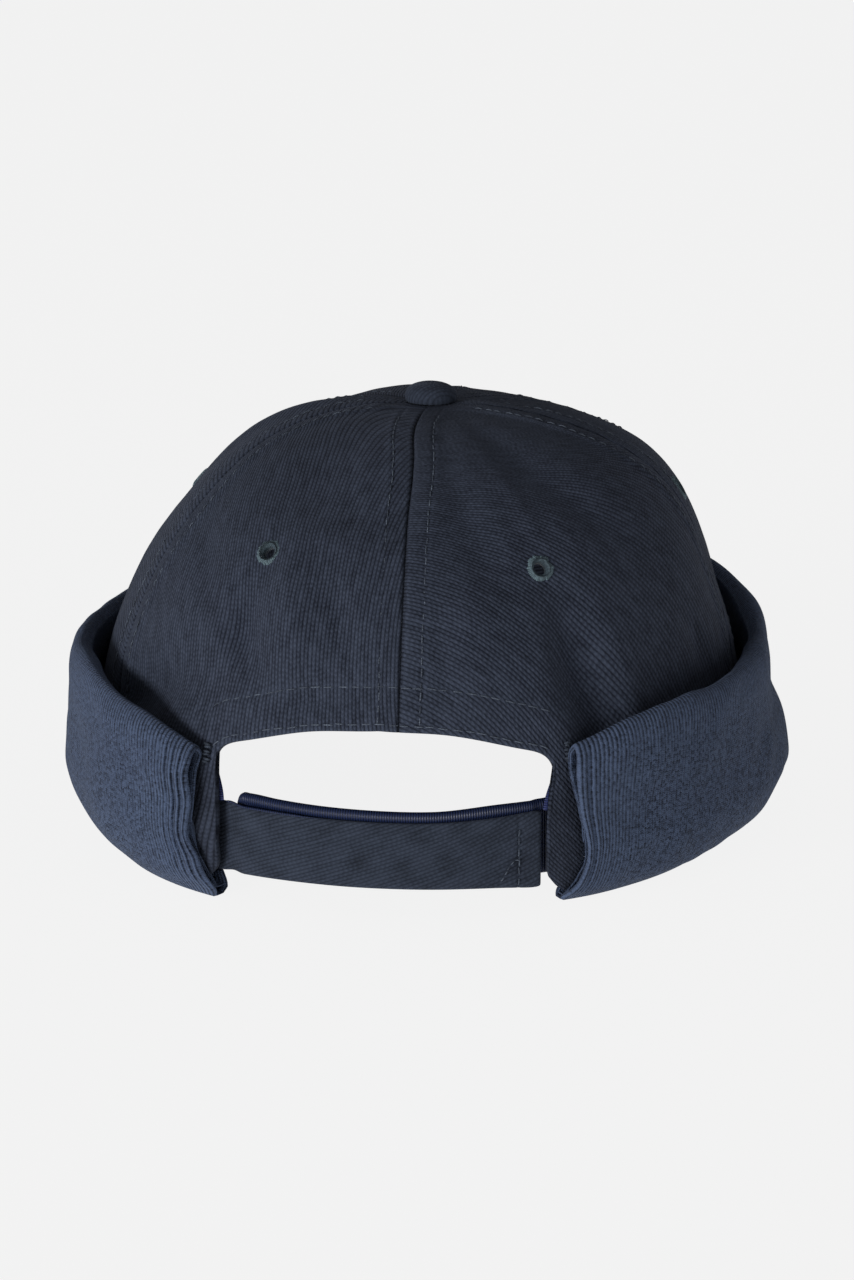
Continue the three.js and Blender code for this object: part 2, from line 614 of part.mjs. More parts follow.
// Cuff cross-section at one angle: the outer face bulges up to a rolled rim, the inner face runs
// down inside it to the pocket, which holds the crown's foot, and a short leaf turns up inside.
function cuffSection(run) {
  const row = (column) => ease(CUFF, 'run', run, column);
  const start = ARCH_HALF_ANGLE + CUFF_LEFT_TAB;
  const end = 360 - ARCH_HALF_ANGLE - CUFF_RIGHT_TAB;
  const angle = 360 - start - (end - start) * run;
  const top = row('height') * CUFF_HEIGHT;
  const bulge = row('bulge') * CUFF_BULGE;
  const middle = row('middle') * CUFF_HEIGHT;
  const foot = -row('foot') * CUFF_TREAD;
  const lift = Math.max(row('lift'), 0) * CUFF_LIFT;
  const rise = top - middle;
  const edge = top - RIM_ROLL * 0.55;
  const rim = crownOut(angle, edge) + 1.5 * GAP + Math.max(row('room'), 0) * RIM_ROOM;
  const shoulder = rim + RIM_ROLL;
  const tucked = -TUCK * Math.max(1 - CROWN_FOOT / TUCK_HEIGHT, 0) ** 2;
  const base = CROWN_FOOT - GAP;
  const pocket = tucked + 2.5 * GAP;
  const leaf = tucked - CLOTH - 2 * GAP;
  const outward = (share) => foot + (bulge - foot) * share;
  const between = (share) => bulge + (shoulder - bulge) * share;
  const face = [
    [foot, 0],
    [outward(0.42), middle * 0.2],
    [outward(0.74), middle * 0.46],
    [outward(0.94), middle * 0.78],
    [bulge, middle],
    [between(0.3), middle + rise * 0.25],
    [between(0.75), middle + rise * 0.43],
    [shoulder, middle + rise * 0.62],
    [rim + RIM_ROLL * 0.96, middle + rise * 0.82],
    [rim + RIM_ROLL * 0.78, top - RIM_ROLL * 0.22],
    [rim + RIM_ROLL * 0.45, top],
    [rim + RIM_ROLL * 0.12, top - RIM_ROLL * 0.2],
    [rim, edge],
  ];
  const inner = (out, height) => [Math.max(out - CUFF_CLOTH, crownOut(angle, height) + 1.5 * GAP), height];
  const back = [
    inner(rim + RIM_ROLL * 0.2 + CUFF_CLOTH, middle + rise * 0.62),
    inner(between(0.6), middle + rise * 0.35),
    inner(bulge, middle),
    inner(outward(0.9), middle * 0.6),
    inner(outward(0.42), base + CUFF_CLOTH * 0.8),
    [pocket, base],
    [leaf, base],
    [leaf - GAP / 3, base + LEAF_RISE],
    [leaf - LEAF_CLOTH, base + LEAF_RISE],
    [leaf - LEAF_CLOTH, base * 0.6],
    [leaf - LEAF_CLOTH / 3, 0],
  ];
  const settle = (height) => (height < base * 0.7 ? height + lift : height);
  return [...face, ...back].map(([out, height]) => around(angle, out, settle(height)));
}

// The cuff as a bar through its cross-sections, which stand closer together near its two ends.
function cuffLoft() {
  const count = 52;
  const crowding = 0.025;
  const sections = [];
  for (let i = 0; i <= count; i += 1) {
    const share = i / count;
    sections.push(cuffSection(share - crowding * Math.sin(2 * Math.PI * share)));
  }
  return loft(sections);
}

// Straps lie near the foot line across the opening and move in behind the tab that they are sewn
// under: sewn is -1 for the left tab and 1 for the right one. The inner strap lies on the outer one.
const STRAP_FOOT = CROWN_FOOT + LEAF_RISE + STRAP_CLEAR;
function strapInset(table, angle, sewn) {
  const share = angle / ARCH_HALF_ANGLE;
  const open = STRAP_SET * ease(table, 'angle', share, 'set');
  const tuck = TUCK * Math.max(1 - STRAP_FOOT / TUCK_HEIGHT, 0) ** 2;
  const behind = Math.max(CLOTH + tuck + 3 * GAP, open);
  const tabStart = 0.78;
  const tabBlend = 0.15;
  const mix = Math.min(Math.max((sewn * share - tabStart) / tabBlend, 0), 1);
  return open + (behind - open) * mix * mix * (3 - 2 * mix);
}

function outerInset(angle) {
  return strapInset(STRAP_OUTER, angle, -1);
}

function innerInset(angle) {
  return Math.max(strapInset(STRAP_INNER, angle, 1), outerInset(angle) + STRAP_CLOTH + 1.3 * GAP);
}

// A strap as a bar of six-cornered cross-sections along its table's angles.
function strapLoft(table, inset, count) {
  const first = table[0].angle * ARCH_HALF_ANGLE;
  const last = table[table.length - 1].angle * ARCH_HALF_ANGLE;
  const soft = STRAP_CLOTH * 0.22;
  const sections = [];
  for (let i = 0; i <= count; i += 1) {
    const angle = first + (last - first) * (i / count);
    const share = angle / ARCH_HALF_ANGLE;
    const out = -inset(angle);
    const low = STRAP_FOOT - ease(table, 'angle', share, 'drop') * STRAP_WIDTH;
    const high = STRAP_FOOT + ease(table, 'angle', share, 'rise') * STRAP_WIDTH;
    sections.push([
      around(angle, out, low + soft),
      around(angle, out, high - soft),
      around(angle, out - STRAP_CLOTH / 2, high),
      around(angle, out - STRAP_CLOTH, high - soft),
      around(angle, out - STRAP_CLOTH, low + soft),
      around(angle, out - STRAP_CLOTH / 2, low),
    ]);
  }
  return loft(sections);
}

// Binding tape: a band on the inner face along the arch, showing a narrow edge inside the opening.
function bindingLoft() {
  const count = 36;
  const reach = 0.885;
  const wayStep = 0.05;
  const sections = [];
  const place = (angle, height, depth) => {
    const { panel, turned } = panelAt(angle, height);
    return crownPoint(panel, turned, climbAtHeight(angle, height), depth);
  };
  const scale = rad(1) * CROWN_HALF_DEPTH;
  for (let i = 0; i <= count; i += 1) {
    const way = reach * (2 * i / count - 1);
    const here = archEdge(way);
    const before = archEdge(Math.max(way - wayStep, -reach));
    const after = archEdge(Math.min(way + wayStep, reach));
    const run = (after.angle - before.angle) * scale;
    const along = new THREE.Vector2(run, after.height - before.height).normalize();
    const move = (step, depth) => {
      const angle = here.angle - along.y * step / scale;
      return place(angle, here.height + along.x * step, depth);
    };
    const near = CLOTH + 1.7 * GAP;
    const far = near + BINDING_CLOTH;
    const show = -BINDING_SHOW;
    const hide = BINDING_WIDTH - BINDING_SHOW;
    sections.push([move(show, near), move(hide, near), move(hide, far), move(show, far)]);
  }
  return loft(sections);
}

// Thread bar that ties a cuff end to the crown: an upright bar of thread lying on the crown.
function tackBar(angle, share) {
  const half = TACK_SIZE / 2;
  const bar = new THREE.CapsuleGeometry(half, TACK_LENGTH, 3, 8);
  const height = share * CUFF_HEIGHT;
  const { panel, turned } = panelAt(angle, height);
  const place = crownPoint(panel, turned, climbAtHeight(turned, height), -half - GAP);
  return bar.rotateX(Math.PI / 2).translate(place.x, place.y, place.z);
}

const cap = new THREE.Group();

function add(name, geometry, cloth) {
  const mesh = new THREE.Mesh(geometry, new THREE.MeshStandardMaterial({ ...CLOTHS[cloth], metalness: 0 }));
  mesh.name = name;
  cap.add(mesh);
  return mesh;
}

for (const panel of PANELS) {
  add(panel.name, cut(panelShell(panel), eyeletHole(panel)), 'twill');
  add(panel.name.replace('crown', 'eyelet'), eyeletRing(panel), 'thread');
}
add('button', buttonLathe(), 'twill');
add('cuff', cuffLoft(), 'knit');
add('strap_outer', strapLoft(STRAP_OUTER, outerInset, 24), 'twill');
add('strap_inner', strapLoft(STRAP_INNER, innerInset, 26), 'tape');
add('binding_tape', bindingLoft(), 'binding');

// Each thread bar stands beside its cuff end, at a share of the cuff's height.
const tackShare = { left: 0.745, right: 0.8 };
const tackStep = THREE.MathUtils.radToDeg((TACK_SIZE / 2 + 2 * GAP) / CROWN_HALF_DEPTH);
add('tack_left', tackBar(-ARCH_HALF_ANGLE - CUFF_LEFT_TAB + tackStep, tackShare.left), 'thread');
add('tack_right', tackBar(ARCH_HALF_ANGLE + CUFF_RIGHT_TAB - tackStep, tackShare.right), 'thread');

// The finished cap is moved so that the floor under its middle is the origin.
const bounds = new THREE.Box3().setFromObject(cap);
const middle = bounds.getCenter(new THREE.Vector3());
cap.children.forEach((mesh) => mesh.position.set(-middle.x, -middle.y, 0));

export default cap;
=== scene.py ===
"""Looks of the sailor cap: a panelled cotton twill crown with a rolled rib-knit cuff, an arched back
opening, a closing strap, a covered button and embroidered eyelets.

Shapes are worked out in millimetres with the back of the cap facing -Y and the floor at z = 0.
Angles are measured round the cap from the back: 90 degrees is +X, 180 the front, 270 is -X.
"""
import logging
import math
from dataclasses import dataclass, field
from enum import Enum
from functools import partial

import bpy
import numpy as np
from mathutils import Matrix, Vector


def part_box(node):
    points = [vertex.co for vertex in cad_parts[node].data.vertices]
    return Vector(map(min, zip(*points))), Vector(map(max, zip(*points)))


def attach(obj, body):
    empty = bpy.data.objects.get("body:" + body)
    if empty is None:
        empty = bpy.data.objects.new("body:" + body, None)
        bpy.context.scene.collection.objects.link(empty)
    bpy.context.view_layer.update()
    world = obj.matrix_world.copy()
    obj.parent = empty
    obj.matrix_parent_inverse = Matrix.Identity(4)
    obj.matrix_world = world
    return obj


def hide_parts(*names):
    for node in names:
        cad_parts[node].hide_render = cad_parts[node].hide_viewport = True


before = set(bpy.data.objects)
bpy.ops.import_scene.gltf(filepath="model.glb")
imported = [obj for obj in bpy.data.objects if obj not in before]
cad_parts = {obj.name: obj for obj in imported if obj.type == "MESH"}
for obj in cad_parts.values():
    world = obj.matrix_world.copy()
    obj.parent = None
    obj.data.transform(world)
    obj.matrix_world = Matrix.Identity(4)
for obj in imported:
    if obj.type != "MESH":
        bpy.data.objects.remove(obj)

LOG = logging.getLogger("sailor_cap")
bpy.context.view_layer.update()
MM = 0.001
WEAVE = "Weave"
TONE = "tone"
Array = np.ndarray


class Slot(Enum):
    """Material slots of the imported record."""

    TWILL = "twill"
    KNIT = "knit"
    WEBBING = "webbing"
    BINDING = "binding"
    THREAD = "thread"


class Seam(Enum):
    """Seams of the crown, named by where they stand, with their column in the seam table."""

    BACK = "back"
    RIGHT = "right"
    FRONT_RIGHT = "front_right"
    FRONT = "front"
    FRONT_LEFT = "front_left"
    LEFT = "left"


# Curves and noise


@dataclass(frozen=True)
class Table:
    """Rows of numbers under named columns; the first column is the key."""

    columns: tuple[str, ...]
    rows: tuple[tuple[float, ...], ...]

    def column(self, name: str) -> Array:
        """Returns one column as an array."""
        return np.array([row[self.columns.index(name)] for row in self.rows], float)

    def ease(self, x: Array | float, name: str) -> Array:
        """Smooth curve through the rows: a cubic piece between neighbours, with the slope at a row
        taken from the rows on both sides.

        Args:
            x: where to read, in the key's unit.
            name: the column to read.

        Returns:
            The column's value at each x.
        """
        key, value = self.column(self.columns[0]), self.column(name)
        last = len(key) - 1
        at = np.clip(np.asarray(x, float), key[0], key[last])
        i = np.clip(np.searchsorted(key, at, side="right") - 1, 0, last - 1)
        low, high = np.maximum(np.arange(last + 1) - 1, 0), np.minimum(np.arange(last + 1) + 1, last)
        slope = (value[high] - value[low]) / (key[high] - key[low])
        width = key[i + 1] - key[i]
        s = (at - key[i]) / width
        start = (2 * s**3 - 3 * s**2 + 1) * value[i] + (s**3 - 2 * s**2 + s) * width * slope[i]
        return start + (3 * s**2 - 2 * s**3) * value[i + 1] + (s**3 - s**2) * width * slope[i + 1]


def smoothstep(x: Array, low: float, high: float) -> Array:
    """Soft step from 0 at low to 1 at high: 3 t squared less 2 t cubed."""
    t = np.clip((x - low) / (high - low), 0, 1)
    return t * t * (3 - 2 * t)


def bell(x: Array, width: float) -> Array:
    """Bell curve exp(-(x / width) squared)."""
    return np.exp(-((x / width) ** 2))


def ripple(points: Array, size: float, seed: int, waves: int = 14) -> Array:
    """Smooth noise: the mean of sine waves in random directions.

    Args:
        points: places, in millimetres, on the last axis.
        size: wave length, in millimetres.
        seed: which noise.
        waves: how many waves.

    Returns:
        Noise of about -1 to 1 at each place.
    """
    rng = np.random.default_rng(seed)
    way = rng.normal(size=(waves, points.shape[-1]))
    way *= (2 * np.pi / size * rng.uniform(0.7, 1.3, waves) / np.linalg.norm(way, axis=1))[:, None]
    turn = rng.uniform(0, 2 * np.pi, waves)
    total = np.zeros(points.shape[:-1])
    for direction, phase in zip(way, turn):
        total += np.sin(points @ direction + phase)
    return total / math.sqrt(waves)


# Meshes


def grid_faces(columns: int, rows: int, start: int = 0, wrap: bool = False) -> Array:
    """Quads over a grid of points numbered column by column.

    Args:
        columns: points one way.
        rows: points the other way.
        start: number of the first point.
        wrap: whether the last row joins the first.

    Returns:
        An array of shape (faces, 4) of point numbers.
    """
    i, j = np.meshgrid(np.arange(columns - 1), np.arange(rows if wrap else rows - 1), indexing="ij")
    k = (j + 1) % rows
    quads = np.stack([i * rows + j, (i + 1) * rows + j, (i + 1) * rows + k, i * rows + k], -1)
    return start + quads.reshape(-1, 4)


def corner_values(values: Array) -> Array:
    """Values of a grid at the corners of its quads, in the order of grid_faces; a wrapped grid has
    one more row of values than of points, so that a pattern doesn't run back at the join."""
    first, last = values[:-1], values[1:]
    corners = np.stack([first[:, :-1], last[:, :-1], last[:, 1:], first[:, 1:]], 2)
    return corners.reshape(-1, 4, values.shape[-1])


@dataclass
class Cloth:
    """A mesh in the making: points in millimetres, faces, weave coordinates and tones."""

    name: str
    points: list[Array] = field(default_factory=list)
    quads: list[Array] = field(default_factory=list)
    weaves: list[Array] = field(default_factory=list)
    tones: list[Array] = field(default_factory=list)
    caps: list[list[int]] = field(default_factory=list)
    count: int = 0

    def add(self, points: Array, quads: Array, weave: Array, tone: Array | float = 0.5) -> None:
        """Adds points with their faces.

        Args:
            points: an array of shape (n, 3).
            quads: faces, numbered from this call's first point.
            weave: weave coordinates at each face's corners, of shape (faces, 4, 2).
            tone: 0 to 1 for each point: worn and faded above 0.5, dark below, which in places is painted
                shade.
        """
        self.points.append(points)
        self.quads.append(quads + self.count)
        self.weaves.append(weave)
        self.tones.append(np.broadcast_to(np.asarray(tone, float), (len(points),)))
        self.count += len(points)

    def cap(self, ring: Array) -> None:
        """Closes a ring of points with one face."""
        self.caps.append([int(k) for k in ring])

    def make(self, slot: Slot, material: bpy.types.Material, *replaced: str) -> bpy.types.Object:
        """Makes the object, turns its faces outwards and lets it ride with the cap.

        Args:
            slot: the record's material slot; not used.
            material: its finish.
            replaced: names of the nodes that it stands for.

        Returns:
            The new object, at the origin, its place in its mesh.
        """
        points = np.concatenate(self.points)
        quads = np.concatenate(self.quads)
        weave = np.concatenate(self.weaves)
        a, b, c, d = (points[quads[:, k]] for k in range(4))
        volume = (np.cross(c - a, d - b) * (a + b + c + d)).sum()
        if volume < 0:
            quads, weave = quads[:, ::-1], weave[:, ::-1]
        loops = [quads.ravel()]
        starts = [np.arange(len(quads)) * 4]
        offset = len(quads) * 4
        for ring in self.caps:
            loops.append(np.array(ring))
            starts.append(np.array([offset]))
            offset += len(ring)
        mesh = bpy.data.meshes.new(self.name)
        mesh.vertices.add(len(points))
        mesh.vertices.foreach_set("co", (points * MM).astype(np.float32).ravel())
        mesh.loops.add(offset)
        mesh.polygons.add(len(quads) + len(self.caps))
        mesh.loops.foreach_set("vertex_index", np.concatenate(loops).astype(np.int32))
        mesh.polygons.foreach_set("loop_start", np.concatenate(starts).astype(np.int32))
        mesh.polygons.foreach_set("use_smooth", np.ones(len(quads) + len(self.caps), bool))
        layer = mesh.uv_layers.new(name=WEAVE)
        flat = np.zeros((offset, 2), np.float32)
        flat[: len(quads) * 4] = weave.reshape(-1, 2)
        layer.uv.foreach_set("vector", flat.ravel())
        tone = mesh.attributes.new(TONE, "FLOAT", "POINT")
        tone.data.foreach_set("value", np.concatenate(self.tones).astype(np.float32))
        mesh.update(calc_edges=True)
        mesh.validate()
        mesh.materials.append(material)
        piece = bpy.data.objects.new(self.name, mesh)
        bpy.context.scene.collection.objects.link(piece)
        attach(piece, "root")
        if replaced:
            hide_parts(*replaced)
        LOG.info("%s: %d points, %d faces", self.name, len(points), len(quads) + len(self.caps))
        return piece


# The crown's form


@dataclass(frozen=True)
class TwillLay:
    """How the twill lines lie on a panel: a cubic in u, millimetres round from a seam, and v,
    millimetres up from the middle, both in units of reach. Its value counts across the lines.
    Farther round than the hold, in the same units, the lines go on straight."""

    terms: tuple[float, ...]
    reach: float = 50.0
    middle: float = 70.0
    hold: float = 1.25

    def across(self, u: Array, v: Array) -> Array:
        """Millimetres across the lines: the sum of the terms times u, v, uu, uv, vv, uuu, uuv, uvv
        and vvv, and past the hold its slope along u times the rest of u."""
        u, v = u / self.reach, (v - self.middle) / self.reach
        k = (*self.terms, *(0.0,) * (9 - len(self.terms)))
        rest = u - np.clip(u, -self.hold, self.hold)
        u = u - rest
        parts = (u, v, u * u, u * v, v * v, u**3, u * u * v, u * v * v, v**3)
        slope = k[0] + 2 * k[2] * u + k[3] * v + 3 * k[5] * u * u + 2 * k[6] * u * v + k[7] * v * v
        return self.reach * (sum(a * part for a, part in zip(k, parts)) + slope * rest)

    def along(self, u: Array, v: Array) -> Array:
        """Millimetres along the lines, near enough for the yarns' lengths."""
        return self.terms[0] * v - self.terms[1] * u


UPRIGHT = TwillLay((1.037, -0.039, -0.045, -0.014, -0.218, -0.032, -0.116, -0.269, 0.043))
FALLING = TwillLay((0.237, 0.918, 0.559, -0.244, 0.193, -0.21, 0.015, -0.116, 0.09))
CROSSING = TwillLay((0.3, 0.93))
STANDING = TwillLay((0.98, -0.12))


@dataclass(frozen=True)
class Panel:
    """One crown panel: its seams, how far the cloth stands out between them as a share of the
    panel puff, where its eyelet is, and how its twill lies."""

    name: str
    start: Seam
    end: Seam
    puff: float
    eyelet: float
    height: float
    lay: TwillLay


PANELS = (
    Panel("crown_back_right", Seam.BACK, Seam.RIGHT, 1.0, 29.1, 0.75, FALLING),
    Panel("crown_side_right", Seam.RIGHT, Seam.FRONT_RIGHT, 0.5, 92, 0.8, STANDING),
    Panel("crown_front_right", Seam.FRONT_RIGHT, Seam.FRONT, 0.5, 155, 0.78, CROSSING),
    Panel("crown_front_left", Seam.FRONT, Seam.FRONT_LEFT, 1.0, 209, 0.78, STANDING),
    Panel("crown_side_left", Seam.FRONT_LEFT, Seam.LEFT, 1.0, 256, 0.77, CROSSING),
    Panel("crown_back_left", Seam.LEFT, Seam.BACK, 0.8, 333.4, 0.766, UPRIGHT),
)


@dataclass(frozen=True)
class Crown:
    """The crown's form: a dome by angle and climb, with seams, puffed panels, folds and relief."""

    half_width: float = 89.2
    half_depth: float = 98.4
    height: float = 113.0
    lean: float = -2.8
    apex_lean: float = 3.8
    foot: float = 3.4
    cloth: float = 1.4
    gap: float = 0.3
    tuck: float = 5.0
    tuck_height: float = 18.0
    panel_puff: float = 1.0
    fold: float = 4.0
    apex_hole: float = 3.2
    arch_half_angle: float = 27.2
    arch_height: float = 48.6
    seam_groove: float = 0.65
    seam_raise: float = 0.3
    side_raise: float = 0.75
    stitch_inset: float = 5.2
    allowance: float = 6.8
    hem: float = 10.6
    hem_raise: float = 0.5
    form: Table = Table(("angle", "shoulder", "roundness"), (
        (0, 2.7, 2.5), (90, 2.3, 3.4), (180, 3.1, 2.4), (270, 1.85, 2.85)))
    seams: Table = Table(("height", "back", "right", "front_right", "front", "front_left", "left"), (
        (0.0, 3, 82, 130, 180, 238, 299), (0.4, 3, 83, 130, 180, 238, 299),
        (0.7, 2.6, 85, 130, 180, 238, 299), (0.85, 1.8, 82, 128, 180, 236, 297.5),
        (0.95, 0.5, 74, 124, 180, 236, 291), (1.0, -5, 70, 122, 180, 236, 288)))
    folds: Table = Table(("angle", "height", "lean", "length", "width", "depth"), (
        (35, 0.5, -14, 0.23, 0.062, 1), (43, 0.44, -20, 0.18, 0.053, -0.3),
        (24, 0.7, 35, 0.115, 0.08, 0.5), (42, 0.86, -58, 0.23, 0.053, 0.4),
        (333, 0.62, 8, 0.21, 0.053, 0.4), (343, 0.58, 6, 0.195, 0.053, -0.25),
        (352, 0.49, 70, 0.23, 0.053, 0.2), (312, 0.42, 66, 0.21, 0.07, 1),
        (60, 0.42, -80, 0.195, 0.062, 0.5), (100, 0.55, 0, 0.195, 0.08, 0.4),
        (160, 0.6, 0, 0.23, 0.09, 0.5), (200, 0.66, 10, 0.21, 0.09, 0.4),
        (262, 0.9, 0, 0.106, 0.106, -0.35), (128, 0.96, 0, 0.06, 0.34, 0.5),
        (226, 0.97, 0, 0.05, 0.2, 0.4), (266, 0.79, 0, 0.11, 0.2, 0.35), (88, 0.64, 0, 0.12, 0.15, 0.4),
        (336, 0.57, -35, 0.12, 0.05, 0.7), (342, 0.69, -31, 0.15, 0.035, -0.25),
        (352, 0.65, -26, 0.07, 0.03, 0.3), (355, 0.68, -22, 0.1, 0.03, -0.2),
        (340, 0.88, -79, 0.25, 0.07, 0.5), (346, 0.81, -84, 0.2, 0.04, -0.3),
        (16, 0.82, -29, 0.15, 0.06, 0.4), (28, 0.85, -35, 0.09, 0.03, -0.2),
        (20, 0.69, -88, 0.12, 0.05, -0.3), (10, 0.58, -5, 0.08, 0.03, 0.25),
        (330, 0.56, -49, 0.08, 0.04, -0.25), (316, 0.73, -66, 0.14, 0.05, 0.35),
        (349, 0.49, 89, 0.1, 0.03, 0.25), (65, 0.51, -30, 0.08, 0.04, 0.3),
        (32, 0.53, -22, 0.08, 0.05, 0.4)))
    # Small creases that only the cloth's surface shows; same columns, depth as a share of fold.
    creases: Table = Table(("angle", "height", "lean", "length", "width", "depth"), (
        (90, 0.6, -6, 0.14, 0.03, 0.12), (118, 0.5, 12, 0.14, 0.03, 0.15),
        (150, 0.45, -10, 0.14, 0.03, 0.12), (172, 0.7, 5, 0.12, 0.025, 0.12),
        (215, 0.5, -12, 0.14, 0.03, 0.15), (250, 0.55, 14, 0.14, 0.03, 0.15),
        (280, 0.6, -8, 0.12, 0.025, 0.12)))
    arch: Table = Table(("way", "angle", "height"), (
        (0, 0, 1), (0.3, 0.4, 0.975), (0.6, 0.8, 0.885), (0.7, 0.93, 0.845), (0.77, 0.99, 0.79),
        (0.82, 1, 0.72), (0.88, 0.965, 0.56), (0.93, 0.955, 0.34), (0.965, 0.975, 0.18), (1, 1.1, 0.07)))

    def place(self) -> Array:
        """Shift of the whole cap that puts the floor under its middle at the origin, read from
        where the button stands."""
        low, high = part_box("button")
        middle = (np.array(low) + np.array(high)) / 2 / MM
        return np.array([middle[0] - self.lean - self.apex_lean, middle[1], 0.0])

    def foot_radius(self, angle: Array) -> Array:
        """Radius of the elliptical foot line at an angle."""
        a = np.radians(angle)
        return 1 / np.hypot(np.sin(a) / self.half_width, np.cos(a) / self.half_depth)

    def form_at(self, angle: Array, name: str) -> Array:
        """A form number at an angle: the four rows mixed by the squares of sine and cosine."""
        back, right, front, left = self.form.column(name)
        s, c = np.sin(np.radians(angle)), np.cos(np.radians(angle))
        return np.where(s >= 0, right, left) * s**2 + np.where(c >= 0, back, front) * c**2

    def radius(self, angle: Array, climb: Array) -> Array:
        """Level radius of the smooth dome before its tuck."""
        share = np.maximum(np.cos(np.radians(climb)), 0)
        return self.foot_radius(angle) * share ** (2 / self.form_at(angle, "roundness"))

    def smooth(self, angle: Array, climb: Array) -> Array:
        """Smooth dome: (r / foot radius) ^ roundness + (z / height) ^ shoulder = 1, with climb from
        0 at the floor to 90 degrees at the apex and the lowest part tucked in."""
        a = np.radians(angle)
        up = np.maximum(np.sin(np.radians(climb)), 0)
        z = self.height * up ** (2 / self.form_at(angle, "shoulder"))
        tuck = self.tuck * np.maximum(1 - z / self.tuck_height, 0) ** 2
        r = self.radius(angle, climb) - tuck
        x = r * np.sin(a) + self.lean + self.apex_lean * (z / self.height) ** 3
        return np.stack(np.broadcast_arrays(x, -r * np.cos(a), z), -1)

    def outward(self, angle: Array, climb: Array) -> Array:
        """Outward direction of the smooth dome, from two short steps over it."""
        top = np.minimum(climb + 0.5, 89.5)
        low = np.maximum(top - 1, 0.2)
        up = self.smooth(angle, top) - self.smooth(angle, low)
        side = self.smooth(angle + 0.5, low) - self.smooth(angle - 0.5, low)
        n = np.cross(side, up)
        return n / np.linalg.norm(n, axis=-1, keepdims=True)

    def climb_at_height(self, angle: Array, height: Array) -> Array:
        """Climb where the dome reaches a height."""
        share = np.clip(height / self.height, 0, 1)
        return np.degrees(np.arcsin(share ** (self.form_at(angle, "shoulder") / 2)))

    def climb_at_apex(self, angle: Array) -> Array:
        """Climb where the dome meets the small hole at its apex."""
        share = self.apex_hole / self.foot_radius(angle)
        return np.degrees(np.arccos(share ** (self.form_at(angle, "roundness") / 2)))

    def dents(self, table: Table, angle: Array, height: Array) -> Array:
        """Depth of all folds of a table at a place, each an oval dent leaning from upright:
        fold * depth * exp(-(along / length)^2 - (side / width)^2)."""
        total = np.zeros(np.broadcast(angle, height).shape)
        for middle, rise_at, lean, length, width, depth in table.rows:
            turn = angle - middle
            turn = turn - 360 * np.round(turn / 360)
            across = np.radians(turn) * self.half_width / self.height
            rise = height / self.height - rise_at
            c, s = math.cos(math.radians(lean)), math.sin(math.radians(lean))
            along, side = rise * c + across * s, across * c - rise * s
            total += self.fold * depth * np.exp(-((along / length) ** 2) - (side / width) ** 2)
        return total

    def seam(self, seam: Seam, height: Array) -> Array:
        """Angle of a seam at a height."""
        return self.seams.ease(height / self.height, seam.value)

    def span(self, panel: Panel, height: Array) -> tuple[Array, Array]:
        """Angles of a panel's two seams at a height, the second always the greater."""
        start, end = self.seam(panel.start, height), self.seam(panel.end, height)
        return start, np.where(end > start, end, end + 360)

    def puff(self, panel: Panel, angle: Array, height: Array) -> Array:
        """How far the cloth stands out: a low arch between the seams, fading to foot and apex."""
        start, end = self.span(panel, height)
        turned = np.where(angle < start - 1, angle + 360, angle)
        share = np.clip((turned - start) / (end - start), 0, 1)
        rise = height / self.height
        fade = np.minimum(rise / 0.5, 1) * np.clip((1.002 - rise) / 0.02, 0, 1)
        return self.panel_puff * panel.puff * np.sin(np.pi * share) ** 0.7 * fade

    def arch_edge(self, way: Array) -> tuple[Array, Array]:
        """Angle and height of the arched opening's edge, way running from -1 to 1."""
        far = np.abs(way)
        angle = np.sign(way) * self.arch_half_angle * self.arch.ease(far, "angle")
        return angle, self.arch_height * self.arch.ease(far, "height")

    def hem_distance(self, angle: Array, height: Array) -> Array:
        """Millimetres from the arched opening's edge, measured over the unrolled cloth."""
        way = np.linspace(-1, 1, 161)
        edge_angle, edge_height = self.arch_edge(way)
        turn = angle - 360 * np.round(angle / 360)
        across = np.radians(turn)[..., None] * self.half_depth
        gap = np.hypot(across - np.radians(edge_angle) * self.half_depth, height[..., None] - edge_height)
        return gap.min(-1)

    def relief(self, panel: Panel, angle: Array, climb: Array, height: Array) -> tuple[Array, Array]:
        """Sewn relief: each seam lies in a groove between raised allowances that end just past
        their stitch rows, and the arch has a raised hem.

        Args:
            panel: the panel.
            angle: angles on it.
            climb: climbs on it.
            height: heights on it.

        Returns:
            How far the cloth stands out there in millimetres, and its tone, which holds painted shade low on
            the back panels.
        """
        start, end = self.span(panel, height)
        r = self.radius(angle, climb)
        total, tone = np.zeros(r.shape), np.full(r.shape, 0.5)
        calm = smoothstep(r, 5, 18)
        for seam, turn in ((panel.start, angle - start), (panel.end, end - angle)):
            d = np.radians(np.maximum(turn, 0)) * r
            lift = self.side_raise if seam in (Seam.LEFT, Seam.RIGHT) else self.seam_raise
            band = 1 / (1 + np.exp(np.clip((d - self.allowance) / 0.5, -30, 30)))
            pucker = 0.10 * np.sin(height * 2 * np.pi / 3.1 + 3 * ripple(height[..., None], 9, 5))
            row = bell(d - self.stitch_inset, 0.55)
            total += calm * (lift * band + pucker * bell(d - self.stitch_inset, 2.4) - 0.2 * row)
            total -= self.seam_groove * bell(d, 0.36) * smoothstep(r, 6, 24)
            tone += calm * (0.06 * bell(d - 1.2, 0.9) - 0.35 * bell(d, 0.36) - 0.10 * row)
            tone += 0.06 * calm * bell(d - self.allowance + 0.5, 0.9)
        if Seam.BACK in (panel.start, panel.end):
            d = self.hem_distance(angle, height)
            band = 1 / (1 + np.exp(np.clip((d - self.hem - 0.6) / 0.5, -30, 30)))
            total += self.hem_raise * band - 0.2 * bell(d - self.hem, 0.6) - 0.15 * bell(d - 1.6, 0.5)
            total -= 0.35 * bell(d, 0.7)
